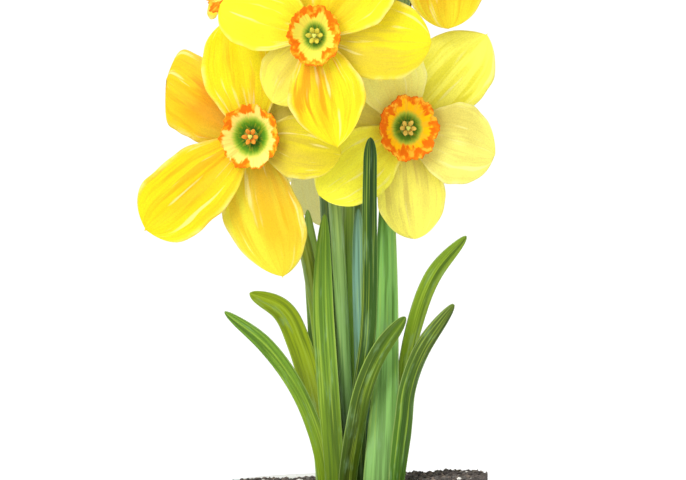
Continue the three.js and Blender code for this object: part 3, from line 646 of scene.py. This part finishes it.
def streaks(add, place, counts, offset=0.0, detail=3.0):
    """Noise stretched along a blade: how many bands there are across, along and from piece to piece."""
    scaled = add("VectorMath", [place, counts, [offset] * 3], operation="MULTIPLY_ADD")
    return add("TexNoise", {"Vector": scaled, "Scale": 1.0, "Detail": detail})


# Daffodil petal tissue: thin, damp and half see-through, with a satin surface that glistens as its
# cells catch the light. The colour lies in streaks from the root to the tip along the veins: a
# broad wash on one side, deeper strokes in it, painted khaki shade at the root and under other
# petals, pale gaps painted as highlights, and pale margins.
petal_tissue, add, place, own, deep, strokes_and_shade = new_material(
    "daffodil petal tissue", "petal_place", "petal_tint", "petal_stroke", "petal_strokes_and_shade",
)
strokes_and_shade = add("SeparateXYZ", [strokes_and_shade]).outputs
split = add("SeparateXYZ", [place]).outputs
# A petal is about 32 mm across and 46 mm long, so that half its width and its length are 1 here:
# washes 9 mm apart and 50 mm long, strokes 3.4 mm by 35 mm, veins 0.9 mm by 20 mm.
wash = streaks(add, place, (16 / 9, 46 / 50, 7.3), 3.0)
stroke = streaks(add, place, (16 / 3.4, 46 / 35, 7.3))
vein = streaks(add, place, (16 / 0.9, 46 / 20, 3.1), 5.0, 2.0)
painted_highlight_gap = streaks(add, place, (16 / 2.4, 46 / 24, 11.9), 8.0, 2.0)
blot = streaks(add, place, (16 / 7, 46 / 8, 5.7), 11.0, 4.0)
# How near a point is to the side that this petal's strokes keep to.
aside = add("Math", [add("Math", [split["X"], strokes_and_shade["Y"]], operation="SUBTRACT")], operation="ABSOLUTE")
washed = product(add, (wash, 0.4, 0.62, 0.1, 0.8), (aside, 0.15, 0.95, 1.0, 0.12))
stroked = product(add, (stroke, 0.47, 0.62), (aside, 0.3, 1.3, 0.9, 0.3))
strokes = add("Math", [washed, stroked], operation="MAXIMUM")
skin = layer(add, own, deep, strokes, strokes_and_shade["X"], (split["Y"], 0.6, 1.0, 1.0, 0.25))
# Painted shade in khaki: on the root half, where the corona and other petals shadow it, and
# wherever the blots fall near the margins, where other petals lie over them.
across = add("Math", [split["X"]], operation="ABSOLUTE")
painted_root_shade = product(add, (split["Y"], 0.22, 0.62, 1.0, 0.0), (blot, 0.3, 0.6, 0.3, 1.0))
painted_margin_shade = product(add, (across, 0.55, 0.98), (blot, 0.5, 0.66, 0.0, 0.7))
painted_shade = add("Math", [painted_root_shade, painted_margin_shade], operation="MAXIMUM")
skin = layer(add, skin, "#cdb44e", painted_shade, strokes_and_shade["Z"], 0.62)
# Fine veins are a little deeper than what they cross.
skin = layer(add, skin, deep, (vein, 0.52, 0.66, 0.0, 0.3))
# Pale gaps between strokes, painted as highlights, and a pale line along the margins.
pale = product(add, (painted_highlight_gap, 0.61, 0.72, 0.0, 0.5))
margin = product(add, (across, 0.84, 1.0), (blot, 0.35, 0.55, 0.5, 0.1))
skin = layer(add, skin, "#fdf8b0", add("Math", [pale, margin], operation="MAXIMUM"))
# The crystalline look of petal cells, drawn 0.5 mm across, some ten times their size: a painted
# glint that makes the colour brighter or darker cell by cell, and a bump.
coords = add("TexCoord").outputs["Object"]
cells = add("TexNoise", {"Vector": coords, "Scale": 1900.0, "Detail": 2.0})
glint = product(add, (cells, 0.3, 0.7, 0.93, 1.04))
skin = add("VectorMath", {0: skin, "Scale": glint}, operation="SCALE")
height = add("Math", [cells, 0.3, vein], operation="MULTIPLY_ADD")
relief = add("Bump", {"Height": height, "Strength": 0.4, "Distance": 0.0005})
shader = add("BsdfPrincipled", {
    "Base Color": skin, "Roughness": 0.55, "IOR": 1.4, "Specular IOR Level": 0.25, "Normal": relief,
})
# A good quarter of the light goes through, so that a petal glows where others lie behind or over it.
through = add("BsdfTranslucent", {"Color": skin, "Normal": relief})
add("OutputMaterial", [add("MixShader", [0.28, shader, through])])

for order, (name, flower) in enumerate(FLOWERS.items()):
    points, faces, tints = bloom(flower, 6 * order + 1)
    add_piece(
        "six_petals_" + name, "petals_" + name, in_flower(flower, points), faces,
        petal_tissue, tints,
    )


# ---- Coronas ----
# The shallow cup in the middle of the petals, one piece of pleated tissue with a frilled rim. It
# is green in the throat, then pale, then orange, and the orange runs inwards along the pleats.

CORONA_RADIUS = 13.0
CORONA_DEPTH = 6.4
CORONA_WALL = 0.55
# The gap between pieces that stand against each other.
FIT = 0.3
CORONA_FLOOR = BOSS_TOP + FIT
CORONA_BASE = 0.8
CORONA_SIDES = 288
CORONA_RUFFLES = 10
CORONA_BOWL = [(0.02, 0.0), (0.2, 0.0), (0.36, 0.03), (0.6, 0.28), (0.82, 0.68), (1.0, 1.0)]
CORONA_ROWS = 30
# The rounded lip's two stations: how far in, and how far up the wall, as a share of it.
CORONA_LIP = np.array([(-0.08, 0.45), (-0.22, 0.9)])
# Where the green ends and where the orange begins, as shares of the radius, and the colours of
# the eye, the ring and the rim.
CORONA_LOOKS = {
    "left": (0.55, 0.82, "#588c1c", "#efda70", "#ee9410"),
    "middle": (0.4, 0.7, "#4a7a20", "#e8da50", "#ef9012"),
    "right": (0.44, 0.7, "#5a821c", "#fcc00c", "#e67c0a"),
    "upper_left": (0.42, 0.72, "#4f7a22", "#f0d45c", "#ee8c12"),
    "upper_right": (0.42, 0.72, "#4f7a22", "#f0d45c", "#ee8c12"),
    "back": (0.42, 0.74, "#4f7a22", "#f0dc6c", "#ee9014"),
}


def corona_cup(cup, seed):
    """The bowl's profile turned round, outside and then inside, as wide and as tall as the flower's
    own cup. Towards the rim it ruffles, in radius and along the flower, with the cube of the share
    of the radius: a cosine of 10 times the angle, whose phase drifts, and one of 7 times. Finer
    pleats and a ragged fringe are cosines of 31, 23 and 47 times the angle."""
    shape, _ = smooth_curve(CORONA_BOWL, np.linspace(0, 1, CORONA_ROWS))
    outer = shape * [CORONA_RADIUS, CORONA_DEPTH] + [0, CORONA_FLOOR]
    lip = outer[-1] + CORONA_LIP * [1, CORONA_WALL]
    inner = np.maximum(outer + [-0.6 * CORONA_WALL, CORONA_WALL], [0.2, 0])[::-1]
    radius, height = np.concatenate([outer, lip, inner]).T[..., None]
    angle = around(CORONA_SIDES)
    share = radius / CORONA_RADIUS
    drift = 0.8 * np.sin(3 * angle + seed)
    ruffle = 0.6 * np.cos(CORONA_RUFFLES * angle + drift) + 0.45 * np.cos(7 * angle + 2 * seed)
    ruffle = share**3 * ruffle
    pleat = share**2 * np.cos(31 * angle + seed)
    fringe = share**8 * (np.cos(23 * angle + 2 * seed) + 0.7 * np.cos(47 * angle + seed))
    wide = radius * (1 + 0.045 * ruffle + 0.01 * pleat + 0.014 * fringe) / CORONA_RADIUS
    tall = height + 0.7 * ruffle + 0.16 * pleat + 0.3 * fringe
    points = np.stack([cup[0] * wide * np.cos(angle), cup[1] * wide * np.sin(angle), tall], -1)
    return points, spun(np.ones_like(share), share, angle).reshape(-1, 3)


# Corona tissue: the petals' own tissue, thicker and richer in orange. Its colours meet in ragged
# tongues, because each pleat carries them a different way in, and the rim has burnt blotches.
corona_tissue, add, place, looks, eye, ring, rim = new_material(
    "daffodil corona tissue", "corona_place", "corona_bands", "corona_eye", "corona_ring", "corona_rim",
)
radial = add("SeparateXYZ", [place]).outputs["Z"]
band = add("SeparateXYZ", [looks]).outputs
# Tongues about 3 mm apart at the rim, which is 82 mm round, rays 1 mm apart, blotches of 3 mm, and
# a drift of 9 mm that makes the rim's band broad on one side and thin on the other.
apart = add("VectorMath", [place, looks], operation="ADD")
tongue = streaks(add, apart, (4.6, 4.6, 1.1), 0.0, 2.0)
ray = streaks(add, apart, (12.0, 12.0, 0.9), 4.0, 2.0)
blotch = streaks(add, apart, (4.2, 4.2, 5.0), 9.0, 3.0)
drift = streaks(add, apart, (1.4, 1.4, 0.5), 13.0, 1.0)
# Each pattern moves the orange in or out by a share of the radius.
at = add("Math", [ray, 0.1, -0.05], operation="MULTIPLY_ADD")
for pattern, most in ((tongue, 0.05), (drift, 0.1), (blotch, 0.06)):
    at = add("Math", [at, product(add, (pattern, 0.35, 0.65, -most, most))], operation="ADD")
at = add("Math", [radial, at], operation="ADD")
past_ring = add("Math", [at, band["Y"]], operation="SUBTRACT")
past_eye = add("Math", [ray, 0.1, radial], operation="MULTIPLY_ADD")
past_eye = add("Math", [past_eye, band["X"]], operation="SUBTRACT")
# The eye is darkest in the throat, speckled, and fades through a green glow into the ring.
throat = layer(add, "#2a5413", eye, (past_eye, -0.28, 0.0))
throat = layer(add, throat, "#a39a1e", (blotch, 0.5, 0.6, 0.0, 0.4))
glow = layer(add, throat, "#a3b83c", (past_eye, -0.06, 0.1))
inner = layer(add, glow, ring, (past_eye, 0.04, 0.2))
rayed = layer(add, inner, "#d9a83c", (ray, 0.5, 0.64, 0.0, 0.35))
whole = layer(add, inner, rayed, (past_eye, 0.04, 0.2))
whole = layer(add, whole, rim, (past_ring, -0.05, 0.05))
# The rim's blotches: burnt where the pattern is high, bright where it is low.
skin = layer(add, whole, "#df6608", (blotch, 0.46, 0.56, 0.0, 0.8), (past_ring, 0.0, 0.08))
skin = layer(add, skin, "#f4bb34", (blotch, 0.46, 0.38, 0.0, 0.8), (past_ring, 0.0, 0.08))
surface(add, skin, ray, 0.45, 0.0006, {"Roughness": 0.55, "IOR": 1.4, "Specular IOR Level": 0.12})

for order, (name, flower) in enumerate(FLOWERS.items()):
    points, place = corona_cup(flower["cup"], order + 1)
    eye_end, rim_start, eye_tint, ring_tint, rim_tint = CORONA_LOOKS[name]
    add_piece(
        "ruffled_corona_" + name, "corona_" + name, in_flower(flower, points),
        ring_faces(*points.shape[:2]), corona_tissue,
        {
            "corona_place": place, "corona_bands": (eye_end, rim_start, 5.0 * order),
            "corona_eye": eye_tint, "corona_ring": ring_tint, "corona_rim": rim_tint,
        },
    )


# ---- Stamens ----
# Six pollen-covered anthers on short filaments round the style, which ends in a three-lobed
# stigma. They stand on the green floor of the throat, and one mesh holds them with that floor.

THROAT_FLOOR = CORONA_FLOOR + CORONA_BASE + FIT
THROAT_RADIUS = 2.9
ANTHER_LENGTH = 3.5
ANTHER_RADIUS = 0.78
ANTHER_TINTS = {"left": "#e08c1e", "middle": "#cdc238", "right": "#d8b64a"}
ANTHER_ROWS, ANTHER_SIDES = 18, 18


def rod(start, end, radii, sides, lobes=0, lobe_depth=0.0):
    """A round rod from start to end with a radius at each of its even stations. Lobes swell its
    section by a cosine of that many times the angle."""
    start, end = np.array(start, float), np.array(end, float)
    along = unit(end - start)
    side = unit(np.cross(along, [0.36, 0.48, 0.8] if abs(along[2]) > 0.9 else [0, 0, 1]))
    up = np.cross(along, side)
    angle = around(sides)[..., None]
    share = np.linspace(0, 1, len(radii))[:, None, None]
    wide = radii[:, None, None] * (1 + lobe_depth * np.cos(lobes * angle))
    return start + share * (end - start) + wide * (np.cos(angle) * side + np.sin(angle) * up)


def stamen_tuft(tint, seed):
    """The throat's floor as a low dome, then for each sixth of a turn a filament and an anther: a
    spindle with two lobes, whose radius is the square root of a sine along it. The style is a rod
    that swells at its end into the stigma."""
    draw = np.random.default_rng(seed)
    dome = THROAT_RADIUS * np.cos(np.pi / 2 * np.clip(np.linspace(0, 1, 10), 0, 0.97)) ** 0.6
    rods = [(rod((0, 0, THROAT_FLOOR - 0.1), (0, 0, THROAT_FLOOR + 0.8), dome, 30), "#7d9636")]
    swelling = ANTHER_RADIUS * np.sin(np.pi * np.linspace(0.02, 0.98, ANTHER_ROWS)) ** 0.5
    for k in range(6):
        angle = np.pi / 3 * k + 0.25 * (draw.random() - 0.5)
        out = np.array([np.cos(angle), np.sin(angle), 0])
        tall = THROAT_FLOOR + 1.3 + 0.5 * draw.random()
        low = 1.15 * out + [0, 0, THROAT_FLOOR + 0.2]
        joint = 1.35 * out + [0, 0, tall]
        rods.append((rod(low, joint, np.full(6, 0.3), 10), "#b9c56a"))
        lean = unit(out * (0.62 + 0.15 * draw.random()) + [0, 0, 0.75])
        low, high = joint - 0.5 * lean, joint + (ANTHER_LENGTH - 0.5) * lean
        rods.append((rod(low, high, swelling, ANTHER_SIDES, 2, 0.22), tint))
    stalk = np.concatenate([np.full(12, 0.42), [0.5, 0.75, 0.95, 0.9, 0.5, 0.1]])
    rods.append((rod((0, 0, THROAT_FLOOR), (0, 0, THROAT_FLOOR + 4.6), stalk, 18, 3, 0.16), "#c7cf5a"))
    return joined([(grid, ring_faces(*grid.shape[:2]), {"tuft_tint": code}) for grid, code in rods])


# Pollen and plant tissue: matt and grainy, each part with its own colour. Pollen is too fine to
# show, so its grains are drawn 0.25 mm across, ten times the real size.
pollen, add, own = new_material("pollen-covered anther", "tuft_tint")
coords = add("TexCoord").outputs["Object"]
grain = add("TexNoise", {"Vector": coords, "Scale": 4000.0, "Detail": 2.0})
bright = add("MapRange", [grain, 0.3, 0.7, 0.72, 1.15])
skin = add("VectorMath", {0: own, "Scale": bright}, operation="SCALE")
surface(add, skin, grain, 0.5, 0.0001, {"Roughness": 0.85})

for order, (name, flower) in enumerate(FLOWERS.items()):
    points, faces, tints = stamen_tuft(ANTHER_TINTS.get(name, "#d9a832"), 30 + order)
    add_piece(
        "stamen_tuft_" + name, "stamens_" + name, in_flower(flower, points), faces,
        pollen, tints,
    )


# ---- Stems ----
# One hollow green scape to a flower, a little flattened and finely ribbed. It stands in the soil,
# bends at the neck just below the flower and ends in the three-lobed seed pod behind the tube.

ROOT_DEPTH = 13.0
OVARY_LENGTH = 9.0
POD_SWELL = 1.75
STEM_RADIUS = 2.7
NECK_RADIUS = 2.0
TUBE_RADIUS = 2.3
NECK_REACH = 7.0
NECK_DROP = 10.0
NECK_EASE = 0.7
SCAPE_ROWS, NECK_ROWS, POD_ROWS = 90, 30, 26
STEM_SIDES = 40
# The colours near the soil and under the flower.
STEM_LOOKS = {
    "left": ("#6f8f1e", "#8f9a34"), "middle": ("#709650", "#849a4c"), "right": ("#79a65b", "#86a850"),
    "upper_left": ("#5f8560", "#6f8f5a"), "upper_right": ("#729162", "#7f9a70"),
    "back": ("#86b440", "#9cbc58"),
}


def stem_path(flower):
    """Places, radii and two cross directions along a stem.

    The scape is a smooth curve from the root through the ground and one more point to the crook.
    The neck is a cubic Bezier that leaves the crook along the scape and arrives along the flower.
    The pod lies straight behind the flower, and its radius rises and falls as a sine.
    """
    ahead = facing(flower)[2]
    pod = centre_of(flower) - (TUBE_LENGTH + FIT) * ahead
    pod_end = pod - OVARY_LENGTH * ahead
    back = -unit(ahead * [1, 1, 0])
    crook = pod_end + NECK_REACH * back - [0, 0, NECK_DROP]
    x, y = flower["root"]
    via = np.array(flower["via"], float) + [0, 0, SOIL_LEVEL]
    corners = [(x, y, SOIL_LEVEL - ROOT_DEPTH), (x, y, SOIL_LEVEL), via, crook]
    scape, rising = smooth_curve(corners, np.linspace(0, 1, SCAPE_ROWS))
    leaving, arriving = rising[-1] * NECK_DROP * NECK_EASE, ahead * NECK_REACH * NECK_EASE
    handles = [crook, crook + leaving, pod_end - arriving, pod_end]
    t = np.linspace(0, 1, NECK_ROWS)[:, None]
    weights = [(1 - t) ** 3, 3 * t * (1 - t) ** 2, 3 * t**2 * (1 - t), t**3]
    neck = sum(w * p for w, p in zip(weights, handles))
    u = np.linspace(0, 1, POD_ROWS)[:, None]
    ovary = pod_end + u * (pod - pod_end)
    places = np.concatenate([scape[:-1], neck, ovary[1:]])
    swelling = NECK_RADIUS + (TUBE_RADIUS - NECK_RADIUS) * u + POD_SWELL * np.sin(np.pi * u**1.1)
    radii = np.concatenate([
        np.full((SCAPE_ROWS - 1, 1), STEM_RADIUS),
        STEM_RADIUS + (NECK_RADIUS - STEM_RADIUS) * (3 * t**2 - 2 * t**3),
        swelling[1:],
    ])
    run = run_along(places)
    along = unit(np.gradient(places, run, axis=0))
    level = unit(np.cross(ahead * [1, 1, 0], [0, 0, 1]))
    side = unit(level - (along @ level)[:, None] * along)
    return places, radii, side, np.cross(side, along), run


def stem_skin(flower):
    """A section carried along the path: a circle, wider at the sides by a cosine of twice the angle,
    with sixteen fine ribs, and on the pod three lobes."""
    places, radii, side, out, run = stem_path(flower)
    angle = around(STEM_SIDES)
    pod = np.clip((run[:, None] - run[-POD_ROWS]) / 2, 0, 1) * np.clip((run[-1] - run[:, None]) / 2, 0, 1)
    ribs = 0.018 * np.cos(16 * angle) + 0.05 * np.cos(2 * angle)
    wide = radii * (1 + (1 - pod) * ribs + 0.07 * pod * np.cos(3 * angle + np.pi / 2))
    direction = np.cos(angle)[..., None] * side[:, None] + np.sin(angle)[..., None] * out[:, None]
    points = places[:, None] + wide[..., None] * direction
    return points, spun(np.ones_like(radii), (run / run[-1])[:, None], angle).reshape(-1, 3)


# The satin sheen of wax, and the glow of juicy green tissue under it, on stems and on leaves.
WAXY = {
    "Roughness": 0.45, "IOR": 1.4, "Specular IOR Level": 0.3, "Subsurface Weight": 0.08,
    "Subsurface Radius": (0.6, 1.0, 0.3), "Subsurface Scale": 0.001,
}

# A waxy stem: smooth green skin with a thin grey bloom on it in patches, light and dark lines
# along the ribs, and a browner neck.
scape_skin, add, place, low, high = new_material(
    "waxy green scape", "stem_place", "stem_low", "stem_high",
)
# A stem is 17 mm round and about 150 mm long: lines 1 mm by 40 mm, patches of wax 3 mm by 15 mm.
lines = streaks(add, place, (2.7, 2.7, 150 / 40))
patch = streaks(add, place, (0.9, 0.9, 150 / 15), 6.0, 5.0)
skin = layer(add, low, high, (add("SeparateXYZ", [place]).outputs["Z"], 0.25, 0.85))
skin = layer(add, skin, "#3a5c12", (lines, 0.5, 0.66, 0.0, 0.55))
skin = layer(add, skin, "#aac060", (lines, 0.34, 0.46, 0.35, 0.0))
skin = layer(add, skin, "#9ab890", (patch, 0.52, 0.7, 0.0, 0.35))
surface(add, skin, lines, 0.3, 0.0004, WAXY)

for name, flower in FLOWERS.items():
    points, place = stem_skin(flower)
    low_tint, high_tint = STEM_LOOKS[name]
    add_piece(
        "scape_" + name, "stem_" + name, points, ring_faces(*points.shape[:2]), scape_skin,
        {"stem_place": place, "stem_low": low_tint, "stem_high": high_tint},
    )


# ---- Sheaths ----
# The papery spathe that the bud broke out of, dry and brown by now. It clasps the stem below the
# neck and stands off it towards its ragged tip, behind the seed pod.

SHEATH_THICKNESS = 0.3
SHEATH_ROWS, SHEATH_COLUMNS = 60, 41
SHEATH_WRAP = [90, 100, 85, 60, 18]
SHEATH_LIFT = [0.1, 0.3, 0.9, 1.8, 3.4]


def papery_sheath(flower, seed):
    """A scoop round the outside of the bend, from one seventh of the scape below the crook to the
    pod. How far it wraps each way and how far it stands off the stem are read from a few stations.
    Pleats are a cosine of 14 times the angle, crumples are products of sines, and its end is torn."""
    places, radii, side, out, run = stem_path(flower)
    crook = run[SCAPE_ROWS - 1]
    start, end = crook * 6 / 7, run[-POD_ROWS]
    u = np.linspace(0, 1, SHEATH_ROWS)[:, None]
    s = np.linspace(-1, 1, SHEATH_COLUMNS)[None, :]
    ragged = 0.06 * np.sin(7 * s + seed) * u**4 + 0.03 * np.sin(19 * s + 2 * seed) * u**6
    at = start + (end - start) * np.clip(u - np.abs(ragged), 0, 1)
    bend_start = (crook - start) / (end - start)
    stations = [0.0] + [bend_start + (1 - bend_start) * k for k in (0.0, 0.33, 0.66, 1.0)]
    wrap = np.radians(np.interp(u, stations, SHEATH_WRAP))
    lift = np.interp(u, stations, SHEATH_LIFT)
    angle = wrap * s
    pleats = 0.1 * np.cos(14 * angle + seed) + 0.16 * np.sin(9 * u + 3 * s + seed) * np.sin(5 * s + 2)
    core, side, out = (read_off(at, run, way) for way in (places, side, out))
    wall = SHEATH_THICKNESS / 2
    away = np.interp(at, run, radii[:, 0]) * 1.06 + FIT + wall + lift + pleats * (0.3 + u)
    direction = unit(np.cos(angle)[..., None] * out + np.sin(angle)[..., None] * side)
    front = core + (away + wall)[..., None] * direction
    back = core + (away - wall)[..., None] * direction
    return two_faces(front, back, s, u, seed)


# Dry spathe: a tan, half see-through skin like onion paper, with darker parallel veins and a
# dull, uneven surface.
dry_skin, add, place = new_material("dry papery spathe", "sheath_place")
# Veins 0.8 mm apart over a width of about 14 mm, and long.
veins = streaks(add, place, (9.0, 1.4, 2.0))
skin = layer(add, "#d8b981", "#a67c46", add("MapRange", [veins, 0.35, 0.65]))
surface(add, skin, veins, 0.5, 0.0004, {
    "Roughness": 0.7, "Subsurface Weight": 0.15, "Subsurface Radius": (1.0, 0.7, 0.4),
    "Subsurface Scale": 0.0008,
})

for order, (name, flower) in enumerate(FLOWERS.items()):
    points, place = papery_sheath(flower, order + 1)
    add_piece(
        "papery_sheath_" + name, "sheath_" + name, points,
        sheet_faces(SHEATH_ROWS, SHEATH_COLUMNS), dry_skin, {"sheath_place": place},
    )


# ---- Leaves ----
# Thirteen strap leaves that come straight out of the soil from the bulbs: thick and juicy in the
# middle, channelled in front and ribbed along their length, with blunt or pointed tips.

LEAF_EDGE = 0.5
LEAF_MIDDLE = 1.7
LEAF_CHANNEL = 0.16
LEAF_ROWS, LEAF_COLUMNS = 110, 33
# Width, the foot's width as a share of it, the share of the length where the tip begins, how far
# the blade is turned out of the front view at the ground and at the tip, the colours near the soil
# and at the tip, and the middle line with heights above the soil.
LEAVES = {
    "leaf_left_low": (8.5, 0.85, 0.7, (40, 25), "#749112", "#628b22", [
        (-13, -8.6, 0), (-17.4, -9, 20), (-25.8, -10.5, 38.7), (-38.5, -12, 56), (-55.3, -14, 69.5),
    ]),
    "leaf_left_high": (12, 0.85, 0.78, (50, 10), "#8a9c12", "#8fa40e", [
        (-10.8, 3.4, 0), (-16.2, 4.2, 26), (-24, 4, 55), (-31.2, 2, 69), (-45, -1, 76.5),
    ]),
    "leaf_right_low": (8.5, 0.72, 0.7, (155, 160), "#446e10", "#455a15", [
        (16.8, -20.6, 0), (19.6, -18.4, 24), (21.4, -16, 38), (27, -13.5, 53), (40.4, -13, 72.5),
    ]),
    "leaf_right_high": (8.4, 0.85, 0.78, (125, 165), "#90b010", "#759216", [
        (17.8, 4, 0), (19.3, 3.5, 33), (24, 2, 61), (32.3, 0, 83.7), (45.8, -3, 100.5),
    ]),
    "leaf_front_cross": (8.5, 0.85, 0.82, (165, 170), "#465a06", "#506e05", [
        (-3.8, -17, 0), (-1.5, -19, 16), (2.3, -21, 36), (9.3, -22.5, 53), (20, -24, 68),
    ]),
    "leaf_front_tall": (7, 0.85, 0.93, (10, 0), "#335304", "#204509", [
        (0.4, -9.4, 0), (0.9, -11.4, 30), (4.4, -17, 58),
        (5.2, -19.5, 76), (5.2, -30, 114), (5.4, -38, 143),
    ]),
    "leaf_right_broad": (13.5, 1.22, 0.95, (10, 58), "#82b25c", "#86bf62", [
        (10.7, -15.6, 0), (12.2, -10.8, 34), (13, -4.5, 72), (13.2, -3, 118),
    ]),
    "leaf_left_broad": (9.6, 0.85, 0.62, (20, 5), "#5e7a06", "#60871f", [
        (-9.1, -14, 0), (-11.6, -12.8, 34), (-13.8, -9.5, 66), (-14.2, -8, 90), (-13.6, -8, 110),
    ]),
    "leaf_left_pale": (8.5, 0.85, 0.7, (-58, 20), "#a8cf8c", "#a9cf62", [
        (-15.3, 11, 0), (-16.4, 10, 36), (-17.5, 8.6, 70), (-20.8, 7.8, 111),
    ]),
    "leaf_back_left": (9.5, 0.85, 0.72, (-20, -10), "#7ba850", "#86b058", [
        (-7, 14.2, 0), (-8.2, 18, 34), (-10.2, 24, 66), (-12, 35, 98),
    ]),
    "leaf_back_middle": (9.5, 0.85, 0.72, (0, 10), "#6a9c3a", "#78a84a", [
        (2.4, 16.4, 0), (2, 20.4, 34), (1.5, 28, 64), (3, 44, 84),
    ]),
    "leaf_back_right": (9.5, 0.85, 0.72, (25, 10), "#7cb058", "#88b862", [
        (10.6, 11.5, 0), (11.4, 15, 36), (12, 22, 70), (12.4, 35, 100),
    ]),
    "leaf_middle_slim": (6, 0.85, 0.85, (15, 5), "#6f9f80", "#7aa690", [
        (3.4, -3.6, 0), (2.2, -3.8, 36), (0.8, -4, 76), (0.4, -3, 112),
    ]),
}


def strap_blade(width, foot, tip_start, turns, line, number):
    """A leaf's front and back, with (s, t, number) for each point.

    The middle line is a smooth curve from the root. The half width leaves the foot's over the first
    third, narrows a little, and closes past the tip's start as the square root of 1 - x^2.4. The
    blade rises to its margins as a shallow channel with nine fine ribs, thins towards them, and has
    two keels on its back.
    """
    corners = np.array(line, float) + [0, 0, SOIL_LEVEL]
    corners = np.vstack([[corners[0][0], corners[0][1], SOIL_LEVEL - ROOT_DEPTH], corners])
    t = 1 - (1 - np.linspace(0, 1, LEAF_ROWS)) ** 1.35
    places, along = smooth_curve(corners, t)
    across = unit(np.cross(along, [0, 1, 0]))
    depth = np.cross(across, along)
    t = t[:, None]
    turn = np.radians(turns[0] + (turns[1] - turns[0]) * t)
    wide = across * np.cos(turn) + depth * np.sin(turn)
    through = np.cross(along, wide)
    base = foot + (1 - foot) * np.clip(t / 0.35, 0, 1) - 0.2 * np.clip((t - 0.35) / 0.65, 0, 1)
    closing = np.sqrt(1 - np.clip((t - tip_start) / (1 - tip_start), 0, 1) ** 2.4)
    strap = base * np.maximum(0.07, closing)
    s = np.linspace(-1, 1, LEAF_COLUMNS)[None, :]
    half = width / 2 * strap * (1 + 0.015 * np.sin(17 * t + number) * np.sign(s))
    channel = LEAF_CHANNEL * half * np.abs(s) ** 1.4
    ribs = 0.07 * strap * np.cos(9 * np.pi * s) * (1 - s**2)
    sway = 0.35 * np.sin(9 * t + number) * s
    thick = LEAF_EDGE + (LEAF_MIDDLE * (0.45 + 0.55 * strap) - LEAF_EDGE) * (1 - np.abs(s) ** 1.5)
    keels = 0.28 * strap * np.exp(-(((np.abs(s) - 0.4) / 0.12) ** 2))
    rise_front = channel + sway + thick / 2 + ribs
    rise_back = channel + sway - thick / 2 - keels + ribs * 0.6
    middle = places[:, None] + (half * s)[..., None] * wide[:, None]
    front = middle + rise_front[..., None] * through[:, None]
    back = middle + rise_back[..., None] * through[:, None]
    # Their order is the other way round here, so that the faces look outwards.
    return two_faces(back, front, s, t, number)


# Daffodil leaf: juicy green under a thin blue-grey bloom of wax that lies in patches, darker and
# lighter lines along the ribs, thin pale margins and a satin surface.
leaf_skin, add, place, low, high = new_material(
    "waxy strap leaf", "leaf_place", "leaf_low", "leaf_high",
)
split = add("SeparateXYZ", [place]).outputs
# A leaf is about 10 mm across and 110 mm long: washes 4 mm by 70 mm, lines 1.1 mm by 60 mm, and
# patches of wax 3 mm by 14 mm.
wash = streaks(add, place, (5 / 4, 110 / 70, 4.7), 2.0)
lines = streaks(add, place, (5 / 1.1, 110 / 60, 4.7), 6.0)
patch = streaks(add, place, (5 / 3, 110 / 14, 3.3), 9.0, 5.0)
skin = layer(add, low, high, (split["Y"], 0.1, 0.95))
washed = add("Mix", {0: 1.0, 6: skin, 7: "#8a9a54"}, data_type="RGBA", blend_type="MULTIPLY")
skin = layer(add, skin, washed, (wash, 0.5, 0.62, 0.0, 0.6))
skin = layer(add, skin, "#31520c", (lines, 0.5, 0.64, 0.0, 0.5))
skin = layer(add, skin, "#a5bd3e", (lines, 0.36, 0.46, 0.35, 0.0))
skin = layer(add, skin, "#86ac78", (patch, 0.54, 0.72, 0.0, 0.3))
across = add("Math", [split["X"]], operation="ABSOLUTE")
skin = layer(add, skin, "#a8c468", (across, 0.9, 1.0, 0.0, 0.4))
surface(add, skin, lines, 0.35, 0.0005, WAXY)

for number, (name, (*shape, low_tint, high_tint, line)) in enumerate(LEAVES.items(), 1):
    points, place = strap_blade(*shape, line, number)
    add_piece(
        "strap_" + name, name, points, sheet_faces(LEAF_ROWS, LEAF_COLUMNS), leaf_skin,
        {"leaf_place": place, "leaf_low": low_tint, "leaf_high": high_tint},
    )
